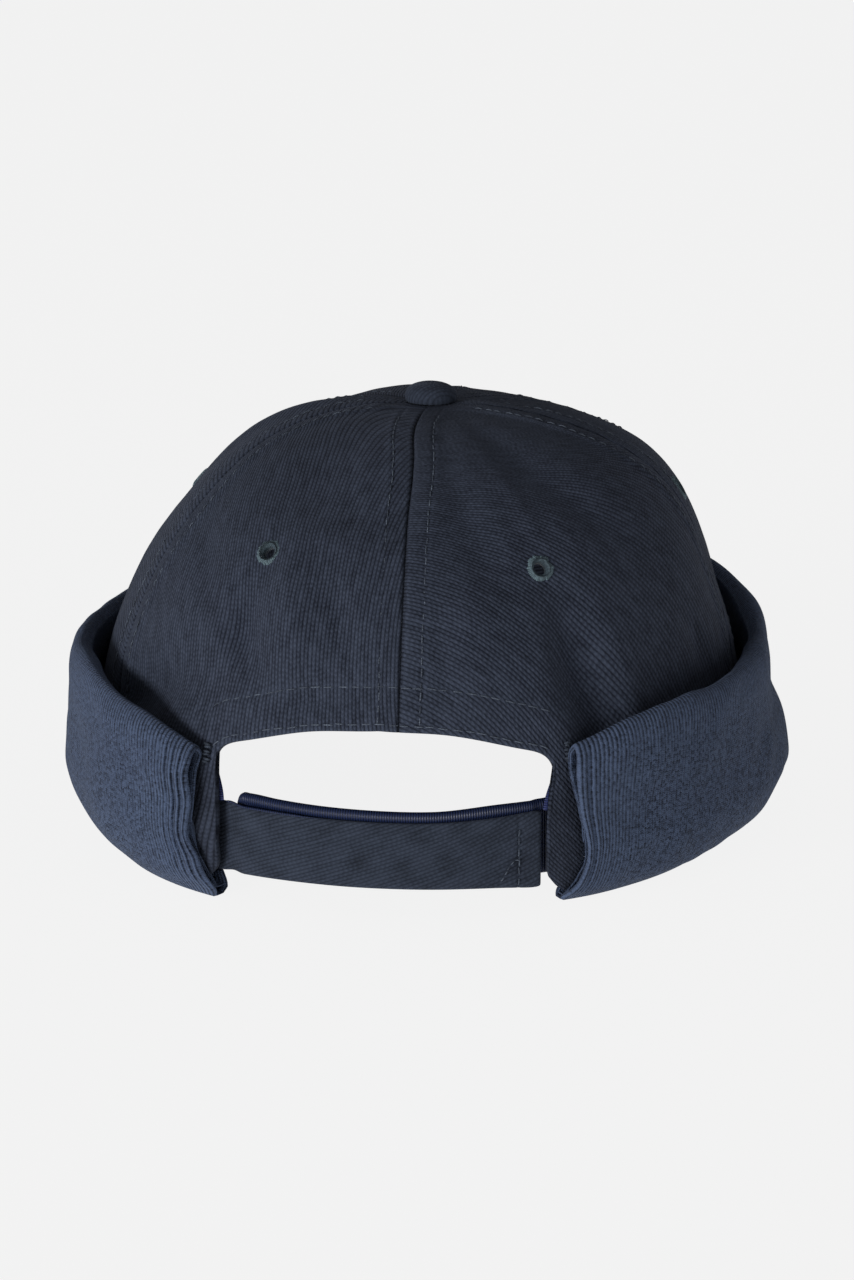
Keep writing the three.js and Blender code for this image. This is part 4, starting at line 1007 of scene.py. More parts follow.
@dataclass(frozen=True)
class Strap:
    """A strap across the opening, a soft-edged bar along its table of angles."""

    crown: Crown
    name: str
    node: str
    slot: Slot
    table: Table
    sewn: int
    under: "Strap | None" = None
    width: float = 18.8
    rest: float = 7.4
    inset: float = 1.1
    cloth: float = 1.8
    twill_lean: float = 112.0
    bead: float = 0.0
    samples: int = 260
    ring: int = 112

    def depth(self, angle: Array) -> Array:
        """How far the strap lies in from the foot line: near it across the opening and behind the
        tab where it is sewn, always clear of the strap that it lies on."""
        crown = self.crown
        share = angle / crown.arch_half_angle
        opened = self.inset * self.table.ease(share, "set")
        tuck = crown.tuck * max(1 - self.rest / crown.tuck_height, 0) ** 2
        behind = np.maximum(crown.cloth + tuck + 3 * crown.gap, opened)
        mix = smoothstep(self.sewn * share, 0.78, 0.93)
        depth = opened + (behind - opened) * mix
        if self.under:
            depth = np.maximum(depth, self.under.depth(angle) + self.under.cloth + 1.3 * crown.gap)
        return depth

    def edges(self, angle: Array) -> tuple[Array, Array]:
        """Heights of the lower and upper edge."""
        share = angle / self.crown.arch_half_angle
        return (self.rest - self.table.ease(share, "drop") * self.width,
                self.rest + self.table.ease(share, "rise") * self.width)

    def profile(self) -> tuple[Array, Array, Array]:
        """Soft-edged ring round the strap: |sin|^0.2 across and |cos|^0.6 through, each with its
        sign, for a turn that starts behind and runs up the outer face, in even steps.

        Returns:
            Shares across and through, from -1 to 1, and the path's length, closing point included.
        """
        turn = np.linspace(np.pi, 3 * np.pi, 4001)
        c, s = np.cos(turn), np.sin(turn)
        across, through = np.sign(s) * np.abs(s) ** 0.2, np.sign(c) * np.abs(c) ** 0.6
        steps = np.hypot(np.diff(across) * self.width / 2, np.diff(through) * self.cloth / 2)
        path = np.concatenate([[0], np.cumsum(steps)])
        even = np.linspace(0, path[-1], self.ring + 1)
        return np.interp(even, path, across)[:-1], np.interp(even, path, through)[:-1], even

    def build(self, material: bpy.types.Material) -> bpy.types.Object:
        """Builds the strap: rounded slabs along the angles, thinner at the free end, with a stitched
        groove across the twill one and a beaded upper edge on the tape."""
        crown = self.crown
        key = self.table.column("angle") * crown.arch_half_angle
        angle = np.linspace(key[0], key[-1], self.samples)
        scale = math.radians(1) * crown.half_depth
        free = (angle - key[0]) * scale if self.sewn > 0 else (key[-1] - angle) * scale
        low, high = self.edges(angle)
        out = -self.depth(angle)
        across, thick, path = self.profile()
        near = np.sqrt(np.clip(1 - (1 - np.clip(free / 1.0, 0, 1)) ** 2, 0.02, 1))[:, None]
        corner = 1 - 0.06 * np.exp(-free / 1.2)[:, None]
        half = self.cloth / 2 * near
        z = (low + high)[:, None] / 2 + (high - low)[:, None] / 2 * across * corner
        t = (out - self.cloth / 2)[:, None] + half * thick
        arc = angle[:, None] * scale * np.ones(t.shape)
        where = np.stack([arc, z], -1)
        wave = 0.12 * ripple(where, 24, 41)
        groove = 0.28 * bell(free - 6.4, 0.55)[:, None] if self.slot is Slot.TWILL else 0
        down = high[:, None] - z
        round_bead = np.sqrt(np.clip(1 - ((down - 1.35) / 1.35) ** 2, 0, 1))
        swell = self.bead * round_bead * (0.3 + 0.7 * (thick > 0))
        t = t + (wave - groove * (thick > 0) + swell * np.sign(thick)) * near
        points = crown.around(angle[:, None] * np.ones(t.shape), t, z)
        v = path[None, :] * np.ones((self.samples, 1))
        u = angle[:, None] * scale * np.ones(v.shape)
        lean = math.radians(self.twill_lean)
        turned = u * math.cos(lean) + v * math.sin(lean)
        weave = np.stack([turned, -u * math.sin(lean) + v * math.cos(lean)], -1)
        if self.slot is not Slot.TWILL:
            weave = np.stack([u, v], -1)
        tone = 0.5 + 0.1 * ripple(where, 9, 43) + 0.14 * np.clip(np.abs(across), 0, 1) ** 30
        cloth = Cloth(self.name)
        count = self.ring
        cloth.add(points.reshape(-1, 3) + PLACE, grid_faces(self.samples, count, wrap=True),
                  corner_values(weave), np.clip(tone, 0, 1).ravel())
        cloth.cap(np.arange(count))
        cloth.cap((np.arange(count) + (self.samples - 1) * count)[::-1])
        return cloth.make(self.slot, material, self.node)

    def backing(self, material: bpy.types.Material) -> bpy.types.Object:
        """Builds the fine edge of backing tape that shows along the strap's upper edge near its sewn
        end: a flattened tube that tapers out."""
        samples, sides = 160, 10
        way = np.linspace(-0.96, -0.3, samples)
        angle = way * self.crown.arch_half_angle
        size = 0.34 * (1 - smoothstep(way, -0.5, -0.3)) * smoothstep(way, -0.97, -0.93) + 0.03
        turn = np.linspace(0, 2 * np.pi, sides, endpoint=False)[None, :]
        out = (-self.depth(angle) - 0.35)[:, None] + size[:, None] * np.cos(turn)
        z = (self.edges(angle)[1] + 0.12)[:, None] + size[:, None] * 0.8 * np.sin(turn)
        points = self.crown.around(angle[:, None] * np.ones(out.shape), out, z)
        scale = math.radians(1) * self.crown.half_depth
        along, across = (angle * scale)[:, None], np.arange(sides + 1)[None, :] * 0.2
        weave = np.stack(np.broadcast_arrays(along, across), -1)
        cloth = Cloth("strap_backing")
        faces = grid_faces(samples, sides, wrap=True)
        cloth.add(points.reshape(-1, 3) + PLACE, faces, corner_values(weave))
        cloth.cap(np.arange(sides))
        cloth.cap((np.arange(sides) + (samples - 1) * sides)[::-1])
        return cloth.make(Slot.WEBBING, material)

    def face(self, angle: Array, height: Array, proud: float) -> Array:
        """Points on the outer face at angles and heights."""
        return self.crown.around(angle, -self.depth(angle) + proud, height)


STRAP_OUTER = Strap(CROWN, "twill_strap", "strap_outer", Slot.TWILL, Table(
    ("angle", "set", "drop", "rise"), (
        (-1.21, 1.6, 0.02, 0.96), (-0.99, 1.6, 0.02, 0.96), (-0.88, 1.6, -0.02, 0.97),
        (-0.66, 1.3, -0.04, 0.98), (-0.3, 1, -0.05, 0.97), (0.3, 1, -0.03, 0.95),
        (0.66, 1, 0, 0.98), (0.926, 1.1, 0.06, 1.03))), sewn=-1)
STRAP_INNER = Strap(CROWN, "closing_tape", "strap_inner", Slot.WEBBING, Table(
    ("angle", "set", "drop", "rise"), (
        (-0.893, 1.9, -0.3, 0.95), (-0.857, 1.8, -0.2, 1.1), (-0.77, 1.6, -0.16, 1.14),
        (-0.59, 1.3, -0.16, 1.12), (-0.3, 1, -0.16, 1.1), (0.3, 1, -0.14, 1.07),
        (0.66, 1, -0.1, 1.12), (0.956, 1.1, -0.09, 1.13), (1.25, 1.2, -0.08, 1.15))),
    sewn=1, under=STRAP_OUTER, bead=0.75)


@dataclass(frozen=True)
class BindingTape:
    """Woven tape on the inner face along the arch, showing a narrow edge inside the opening."""

    crown: Crown
    width: float = 7.7
    show: float = 0.7
    cloth: float = 1.0
    reach: float = 0.885

    def build(self, material: bpy.types.Material) -> bpy.types.Object:
        """Builds the tape as a thin closed band that follows the arch's edge."""
        crown = self.crown
        way = np.linspace(-self.reach, self.reach, 420)
        angle, height = crown.arch_edge(way)
        before = crown.arch_edge(np.maximum(way - 0.05, -self.reach))
        after = crown.arch_edge(np.minimum(way + 0.05, self.reach))
        scale = math.radians(1) * crown.half_depth
        along = np.stack([(after[0] - before[0]) * scale, after[1] - before[1]], -1)
        along /= np.linalg.norm(along, axis=1, keepdims=True)
        half_ring = 14
        step = np.linspace(0, 1, half_ring)
        near = crown.cloth + 1.7 * crown.gap
        bulge = np.sqrt(np.clip(1 - (np.linspace(-1, 1, half_ring)) ** 8, 0, 1)) * self.cloth / 2
        shown = self.show * (1 - 1.9 * smoothstep(height / crown.arch_height, 0.55, 0.8))[:, None]
        ring_step = np.concatenate([step, step[::-1]])[None, :] * self.width - shown
        ring_depth = near + self.cloth / 2 + np.concatenate([-bulge, bulge[::-1]])
        at = angle[:, None] - along[:, 1:] * ring_step / scale
        z = height[:, None] + along[:, :1] * ring_step
        points = np.zeros(at.shape + (3,))
        for panel in PANELS:
            start, end = crown.span(panel, z)
            turned = at - 360 * np.floor((at - start) / 360)
            inside = turned <= end
            if inside.any():
                a, h = turned[inside], z[inside]
                depth = np.broadcast_to(ring_depth, at.shape)[inside]
                points[inside] = crown.point(panel, a, crown.climb_at_height(a, h), 0, -depth)
        s = np.concatenate([[0], np.cumsum(np.hypot(np.diff(angle) * scale, np.diff(height)))])
        v = np.concatenate([ring_step, ring_step[:, :1]], 1)
        weave = np.stack(np.broadcast_arrays(s[:, None], v), -1)
        cloth = Cloth("arch_binding")
        count = ring_step.shape[1]
        cloth.add(points.reshape(-1, 3) + PLACE, grid_faces(len(way), count, wrap=True),
                  corner_values(weave), 0.5)
        cloth.cap(np.arange(count))
        cloth.cap((np.arange(count) + (len(way) - 1) * count)[::-1])
        return cloth.make(Slot.BINDING, material, "binding_tape")


@dataclass
class Needlework:
    """Machine stitches: short lengths of thread that dive into the cloth at both ends."""

    crown: Crown
    pitch: float = 3.0
    share: float = 0.8
    thread: float = 0.17
    cloth: Cloth = field(default_factory=lambda: Cloth("stitching"))
    seed: int = 11

    def sew(self, path: Array, outward: Array, pitch: float | None = None, proud: float = 0.12) -> None:
        """Sews along a path.

        Args:
            path: points of the row on the cloth, of shape (n, 3), in millimetres.
            outward: the cloth's outward directions there.
            pitch: stitch length with its gap.
            proud: how far the thread's middle stands over the cloth.
        """
        pitch = pitch or self.pitch
        length = np.concatenate([[0], np.cumsum(np.linalg.norm(np.diff(path, axis=0), axis=1))])
        count = int(length[-1] / pitch)
        if count < 1:
            return
        rng = np.random.default_rng(self.seed + self.cloth.count)
        start = np.arange(count) * pitch + rng.uniform(-0.12, 0.12, count) * pitch
        share = self.share * rng.uniform(0.88, 1.05, count)
        t = np.array([0.0, 0.16, 0.5, 0.84, 1.0])
        at = start[:, None] + share[:, None] * pitch * t
        level = np.array([-0.42, 0.0, 1.0, 0.0, -0.42]) * 0.5
        thick = np.array([0.45, 0.95, 1.0, 0.95, 0.45]) * self.thread
        centre = np.stack([np.interp(at, length, path[:, k]) for k in range(3)], -1)
        normal = np.stack([np.interp(at, length, outward[:, k]) for k in range(3)], -1)
        normal /= np.linalg.norm(normal, axis=-1, keepdims=True)
        ahead = centre[:, -1] - centre[:, 0]
        ahead /= np.maximum(np.linalg.norm(ahead, axis=-1, keepdims=True), 1e-6)
        side = np.cross(normal, ahead[:, None, :])
        side /= np.maximum(np.linalg.norm(side, axis=-1, keepdims=True), 1e-6)
        sink = rng.uniform(-0.14, 0.04, count)[:, None]
        slip = rng.normal(0, 0.08, (count, 1)) + np.linspace(-0.06, 0.06, 5) * rng.normal(0, 1, (count, 1))
        rise = proud + level * self.thread * 2 + sink
        centre = centre + normal * rise[..., None] + side * slip[..., None]
        theta = np.linspace(0, 2 * np.pi, 6, endpoint=False)
        ring = (centre[:, :, None] + thick[None, :, None, None] * (
            np.cos(theta)[:, None] * side[:, :, None] + 0.85 * np.sin(theta)[:, None] * normal[:, :, None]))
        one = grid_faces(5, 6, wrap=True)
        ends = np.array([[0, 1, 2, 3], [0, 3, 4, 5], [27, 26, 25, 24], [29, 28, 27, 24]])
        one = np.concatenate([one, ends])
        quads = (one[None] + (np.arange(count) * 30)[:, None, None]).reshape(-1, 4)
        along = np.repeat(np.arange(5), 6) * 0.6
        turn = np.tile(np.arange(6), 5) / 6.0
        corner = np.stack([along, turn], -1)[one]
        tone = np.repeat(np.clip(rng.normal(0.55, 0.16, count), 0, 1), 30)
        self.cloth.add(ring.reshape(-1, 3), quads, np.tile(corner, (count, 1, 1)), tone)

    def sew_crown(self, angle: Array, height: Array, pitch: float | None = None) -> None:
        """Sews a row over the crown at angles and heights."""
        path = self.crown.surface(angle, height)
        scale = np.full(angle.shape, 0.35)
        side = self.crown.surface(angle + scale, height) - self.crown.surface(angle - scale, height)
        up = self.crown.surface(angle, height + 0.6) - self.crown.surface(angle, height - 0.6)
        normal = np.cross(side, up)
        normal /= np.linalg.norm(normal, axis=-1, keepdims=True)
        self.sew(path + PLACE, normal, pitch)

    def sew_seams(self) -> None:
        """Sews the two rows beside every seam, from the cuff or the arch up to the button."""
        crown = self.crown
        for seam in Seam:
            lowest = crown.arch_height + 1.5 if seam is Seam.BACK else 32.0
            height = crown.height * np.linspace(lowest / crown.height, 0.9985, 260)
            middle = crown.seam(seam, height)
            for side in (-1, 1):
                climb = crown.climb_at_height(middle, height)
                radius = np.maximum(crown.radius(middle, climb), 1)
                angle = middle + side * np.degrees(np.minimum(crown.stitch_inset / radius, 0.42))
                keep = radius > 12
                self.sew_crown(angle[keep], height[keep])

    def sew_arch(self) -> None:
        """Sews the two rows of the arch's hem."""
        crown = self.crown
        for inset, reach in ((1.6, 0.76), (crown.hem, 0.72)):
            way = np.linspace(-reach, reach, 300)
            angle, height = crown.arch_edge(way)
            scale = math.radians(1) * crown.half_depth
            slope = np.stack([np.gradient(angle * scale), np.gradient(height)], -1)
            slope /= np.linalg.norm(slope, axis=1, keepdims=True)
            kernel = np.ones(31) / 31
            padded = [np.pad(slope[:, k], 15, mode="edge") for k in (0, 1)]
            slope = np.stack([np.convolve(row, kernel, "valid") for row in padded], -1)
            self.sew_crown(angle - slope[:, 1] * inset / scale, height + slope[:, 0] * inset, 3.3)

    def sew_strap(self, strap: Strap) -> None:
        """Sews the row across the strap's free end and lays a loose end of thread beside it."""
        crown = self.crown
        scale = math.radians(1) * crown.half_depth
        end = strap.table.column("angle")[-1] * crown.arch_half_angle
        angle = np.full(40, end - 6.4 / scale)
        low, high = strap.edges(angle)
        height = low + 0.9 + (high - low - 1.8) * np.linspace(0, 1, 40)
        normal = crown.around(angle, 10.0, height) - crown.around(angle, 0.0, height)
        normal /= np.linalg.norm(normal, axis=1, keepdims=True)
        self.sew(strap.face(angle, height, -0.05) + PLACE, normal, 2.6, 0.12)
        t = np.linspace(0, 1, 30)
        loose = end - (6.4 + 5.6 * t) / scale
        rise = 14.6 - 5.5 * t**1.6 + 0.5 * np.sin(6 * t)
        out = crown.around(loose, 10.0, rise) - crown.around(loose, 0.0, rise)
        out /= np.linalg.norm(out, axis=1, keepdims=True)
        self.sew(strap.face(loose, rise, 0.15) + PLACE, out, 1.6, 0.14)

    def sew_tacks(self, cuff: Cuff) -> None:
        """Sews a dense bar of level stitches where each cuff end is tied to the crown."""
        crown = self.crown
        for side, share in ((-1, 0.745), (1, 0.8)):
            tab = cuff.left_tab if side < 0 else cuff.right_tab
            middle = side * (crown.arch_half_angle + tab - 0.85)
            top = share * cuff.height
            for k in range(9):
                z = np.full(12, top - 2.6 + k * 0.62)
                angle = middle + np.linspace(-0.8, 0.8, 12) * (1 + 0.15 * math.sin(k * 2.1))
                path = self.crown.surface(angle, z, -0.85)
                normal = path - self.crown.surface(angle, z, 0.4)
                normal /= np.linalg.norm(normal, axis=1, keepdims=True)
                self.sew(path + PLACE, normal, 2.6, 0.1)


# Finishes


def linear(colour: str) -> tuple[float, float, float, float]:
    """Turns an sRGB hex value such as "#1e222d" into linear red, green, blue and alpha."""
    parts = [int(colour[i:i + 2], 16) / 255 for i in (1, 3, 5)]
    return (*[c / 12.92 if c <= 0.04045 else ((c + 0.055) / 1.055) ** 2.4 for c in parts], 1.0)


def add_node(tree: bpy.types.NodeTree, kind: str, inputs: dict | None = None,
             **settings: object) -> bpy.types.Node:
    """Adds a shader node.

    Args:
        tree: the node tree.
        kind: Blender's name of the node's type.
        inputs: by socket name or number, a value or another node's output socket to link.
        settings: the node's own settings.

    Returns:
        The new node.
    """
    node = tree.nodes.new(kind)
    for name, value in settings.items():
        setattr(node, name, value)
    for key, value in (inputs or {}).items():
        if isinstance(value, bpy.types.NodeSocket):
            tree.links.new(value, node.inputs[key])
        else:
            node.inputs[key].default_value = value
    return node


def maths(tree: bpy.types.NodeTree, operation: str, *values: object) -> bpy.types.NodeSocket:
    """A Math node's result."""
    return add_node(tree, "ShaderNodeMath", dict(enumerate(values)), operation=operation).outputs[0]


def noise(tree: bpy.types.NodeTree, place: bpy.types.NodeSocket, scale: float,
          detail: float) -> bpy.types.NodeSocket:
    """A Noise Texture node's value; its scale is in waves a metre."""
    inputs = {"Vector": place, "Scale": scale, "Detail": detail}
    return add_node(tree, "ShaderNodeTexNoise", inputs).outputs[0]


def ramp(tree: bpy.types.NodeTree, value: bpy.types.NodeSocket, low: float, high: float,
         bottom: float = 0.0, top: float = 1.0) -> bpy.types.NodeSocket:
    """A value mapped from the range low to high onto the range bottom to top, and held there."""
    return add_node(tree, "ShaderNodeMapRange", {
        "Value": value, "From Min": low, "From Max": high, "To Min": bottom, "To Max": top}).outputs[0]


def blend(tree: bpy.types.NodeTree, factor: bpy.types.NodeSocket, low: object,
          high: object) -> bpy.types.NodeSocket:
    """A mix of two colours: the low one at factor 0, the high one at 1."""
    inputs = {"Factor": factor, "A": low, "B": high}
    return add_node(tree, "ShaderNodeMix", inputs, data_type="RGBA").outputs["Result"]


@dataclass(frozen=True)
class Fabric:
    """What every fabric here shares: its colours from groove to crest and a worn colour, as sRGB
    hex values, and the constants of its surface."""

    name: str
    groove: str
    crest: str
    worn: str
    roughness: float
    sheen: float
    specular: float
    bump: float

    def start(self) -> tuple[bpy.types.Material, bpy.types.NodeTree]:
        """Makes an empty node material of this name."""
        material = bpy.data.materials.new(self.name)
        material.use_nodes = True
        material.node_tree.nodes.clear()
        return material, material.node_tree

    def inputs(self, tree: bpy.types.NodeTree) -> tuple:
        """Adds what a pattern reads: Object coordinates in metres, the weave's coordinates in
        millimetres, split by axis, and the tone."""
        place = add_node(tree, "ShaderNodeTexCoord").outputs["Object"]
        weave = add_node(tree, "ShaderNodeUVMap", uv_map=WEAVE).outputs[0]
        split = add_node(tree, "ShaderNodeSeparateXYZ", {0: weave}).outputs
        tone = add_node(tree, "ShaderNodeAttribute", attribute_name=TONE).outputs["Fac"]
        return place, split, tone

    def finish(self, tree: bpy.types.NodeTree, colour: bpy.types.NodeSocket, height: bpy.types.NodeSocket,
               roughness: bpy.types.NodeSocket | None = None) -> None:
        """Ends the tree with the cloth's shader: matt, with a little sheen from raised fibres.

        Args:
            tree: the node tree.
            colour: the colour.
            height: surface height, 0 to 1 of the bump's distance.
            roughness: a varying roughness, or None for the finish's own.
        """
        bump = add_node(tree, "ShaderNodeBump", {
            "Strength": 1.0, "Distance": self.bump * MM, "Height": height})
        shader = add_node(tree, "ShaderNodeBsdfPrincipled", {
            "Base Color": colour, "Roughness": self.roughness, "Specular IOR Level": self.specular,
            "Sheen Weight": self.sheen, "Sheen Roughness": 0.4, "Sheen Tint": linear("#8f9ab5"),
            "Normal": bump.outputs[0]})
        if roughness:
            tree.links.new(roughness, shader.inputs["Roughness"])
        add_node(tree, "ShaderNodeOutputMaterial", {"Surface": shader.outputs[0]})


@dataclass(frozen=True)
class CottonTwill(Fabric):
    """Washed cotton twill, woven 3/1: raised diagonal lines a millimetre apart, each a row of short
    slanting yarn lengths, give the eye fine stripes broken into dashes, with the odd paler line."""

    pitch: float = 1.0
    float_length: float = 1.3

    def material(self) -> bpy.types.Material:
        """Builds the material."""
        material, tree = self.start()
        sums = partial(maths, tree)
        place, split, tone = self.inputs(tree)
        # Lines wander by a quarter of a millimetre over some 25 mm, as washed cloth does.
        wander = noise(tree, place, 40.0, 1.0)
        across = sums("MULTIPLY_ADD", wander, 0.8, split[0])
        line = sums("MULTIPLY", across, 1 / self.pitch)
        number = sums("FLOOR", line)
        slope = sums("MULTIPLY", sums("PINGPONG", line, 0.5), 2.0)
        hollow = sums("SUBTRACT", 1.0, slope)
        ridge = sums("SUBTRACT", 1.0, sums("POWER", hollow, 2.2))
        # Each line is a row of yarn lengths that slant across it; lines begin theirs anywhere.
        first = add_node(tree, "ShaderNodeTexWhiteNoise", {"W": number}, noise_dimensions="1D").outputs[0]
        run = sums("MULTIPLY_ADD", split[1], 1 / self.float_length, sums("MULTIPLY_ADD", slope, 0.35, first))
        bead = sums("MULTIPLY_ADD", sums("SINE", sums("MULTIPLY", run, 2 * math.pi)), 0.5, 0.5)
        # Uneven yarn: paler and darker stretches some 6 mm long on single lines, and finer ones.
        streak_at = add_node(tree, "ShaderNodeCombineXYZ", {
            0: sums("MULTIPLY", number, 7.31), 1: sums("MULTIPLY", split[1], 0.16)}).outputs[0]
        streak = noise(tree, streak_at, 1.0, 3.0)
        streak = ramp(tree, streak, 0.3, 0.7, -0.5, 0.5)
        fuzz = noise(tree, place, 1100.0, 3.0)
        fuzz = ramp(tree, fuzz, 0.3, 0.7, -0.5, 0.5)
        woven = sums("MULTIPLY", ridge, sums("MULTIPLY_ADD", bead, 0.34, 0.5))
        height = sums("MULTIPLY_ADD", fuzz, 0.3, woven)
        # Colour follows the height: indigo in the grooves, greyer and paler on the crests.
        depth = sums("MULTIPLY_ADD", streak, 0.45, height)
        base = blend(tree, depth, linear(self.groove), linear(self.crest))
        wear = ramp(tree, tone, 0.5, 1.0, 0.0, 0.8)
        base = blend(tree, wear, base, linear(self.worn))
        # Tone below 0.5 darkens the colour; low on the back panels this is painted shade.
        dark = ramp(tree, tone, 0.0, 0.5, 0.3, 1.0)
        base = add_node(tree, "ShaderNodeVectorMath", {0: base, "Scale": dark}, operation="SCALE").outputs[0]
        # Lint: a pale speck a fifth of a millimetre across every few centimetres.
        speck = add_node(tree, "ShaderNodeTexVoronoi", {"Vector": place, "Scale": 150.0, "Randomness": 1.0})
        near = sums("LESS_THAN", speck.outputs["Distance"], 0.055)
        chosen = add_node(tree, "ShaderNodeSeparateColor", {0: speck.outputs["Color"]}).outputs[0]
        lint = sums("MULTIPLY", sums("MULTIPLY", near, sums("GREATER_THAN", chosen, 0.95)), 0.3)
        base = blend(tree, lint, base, linear("#a9a6a2"))
        self.finish(tree, base, height)
        return material


@dataclass(frozen=True)
class RibKnit(Fabric):
    """Fine cotton and elastane rib knit: upright ribs a millimetre apart, each a row of small loops
    lit one by one, give the eye sharp stripes over the rolled rim and a speckled face below it."""

    pitch: float = 1.05
    wale: float = 0.72
    course: float = 0.6

    def material(self) -> bpy.types.Material:
        """Builds the material."""
        material, tree = self.start()
        sums = partial(maths, tree)
        place, split, tone = self.inputs(tree)
        wander = noise(tree, place, 60.0, 2.0)
        across = sums("MULTIPLY_ADD", wander, 1.2, split[0])
        line = sums("MULTIPLY", across, 1 / self.pitch)
        slope = sums("MULTIPLY", sums("PINGPONG", line, 0.5), 2.0)
        hollow = sums("SUBTRACT", 1.0, slope)
        ridge = sums("SUBTRACT", 1.0, sums("POWER", hollow, 2.0))
        # Where the knit is stretched flat its single columns of loops show, finer than the ribs.
        stitch = sums("MULTIPLY", across, 1 / self.wale)
        column = sums("MULTIPLY", sums("PINGPONG", stitch, 0.5), 2.0)
        column = sums("SUBTRACT", 1.0, sums("POWER", column, 2.0))
        # Loops: courses that dip between the ribs; each loop is a little paler or darker.
        row = sums("MULTIPLY_ADD", slope, 0.5, sums("MULTIPLY", split[1], 1 / self.course))
        loop = sums("MULTIPLY_ADD", sums("SINE", sums("MULTIPLY", row, 2 * math.pi)), 0.5, 0.5)
        cell = add_node(tree, "ShaderNodeCombineXYZ", {
            0: sums("FLOOR", stitch), 1: sums("FLOOR", row)}).outputs[0]
        single = add_node(tree, "ShaderNodeTexWhiteNoise", {"Vector": cell}, noise_dimensions="2D").outputs[0]
        fuzz = noise(tree, place, 1300.0, 2.0)
        fuzz = ramp(tree, fuzz, 0.3, 0.7)
        strong = ramp(tree, tone, 0.2, 0.8, 0.4, 0.85)
        flat = sums("MULTIPLY_ADD", strong, -1.6, 1.36)
        woven = add_node(tree, "ShaderNodeMix", {"Factor": flat, "A": ridge, "B": column}).outputs["Result"]
        loop_share = sums("MULTIPLY_ADD", strong, -0.3, 0.4)
        fine = sums("MULTIPLY_ADD", loop, loop_share, sums("MULTIPLY", woven, strong))
        height = sums("MULTIPLY_ADD", fuzz, 0.32, fine)
        # Colour follows the height, and the speckle fades where the ribs are strong.
        speckle = sums("MULTIPLY", sums("SUBTRACT", single, 0.5), sums("MULTIPLY_ADD", strong, -0.7, 1.1))
        factor = sums("ADD", sums("ADD", height, speckle), sums("MULTIPLY_ADD", strong, -0.3, 0.18))
        base = blend(tree, factor, linear(self.groove), linear(self.crest))
        cloud = noise(tree, place, 45.0, 3.0)
        cloud = ramp(tree, cloud, 0.35, 0.75, 0.0, 0.2)
        base = blend(tree, cloud, base, linear(self.worn))
        self.finish(tree, base, height)
        return material


@dataclass(frozen=True)
class NylonTape(Fabric):
    """Woven nylon tape: fine cross ribs of bright filament that catch a satin light."""

    pitch: float = 0.85

    def material(self) -> bpy.types.Material:
        """Builds the material."""
        material, tree = self.start()
        place, split, _ = self.inputs(tree)
        rib = maths(tree, "SINE", maths(tree, "MULTIPLY", split[0], 2 * math.pi / self.pitch))
        rib = ramp(tree, rib, -1.0, 1.0)
        grain = noise(tree, place, 900.0, 2.0)
        height = maths(tree, "MULTIPLY_ADD", grain, 0.3, rib)
        factor = ramp(tree, height, 0.0, 1.3)
        base = blend(tree, factor, linear(self.groove), linear(self.crest))
        self.finish(tree, base, height)
        return material


@dataclass(frozen=True)
class SewingThread(Fabric):
    """Spun polyester thread: a slight twist and a soft shine set it off from the matt cloth."""

    turns: int = 2

    def material(self) -> bpy.types.Material:
        """Builds the material."""
        material, tree = self.start()
        sums = partial(maths, tree)
        place, split, tone = self.inputs(tree)
        twist = sums("ADD", split[0], split[1])
        ply = sums("SINE", sums("MULTIPLY", twist, 2 * math.pi * self.turns))
        ply = ramp(tree, ply, -1.0, 1.0)
        fuzz = noise(tree, place, 1800.0, 2.0)
        height = sums("MULTIPLY_ADD", fuzz, 0.5, ply)
        factor = sums("MULTIPLY", fuzz, tone)
        factor = ramp(tree, factor, 0.05, 0.5)
        base = blend(tree, factor, linear(self.groove), linear(self.crest))
        self.finish(tree, base, height)
        return material


# Studio


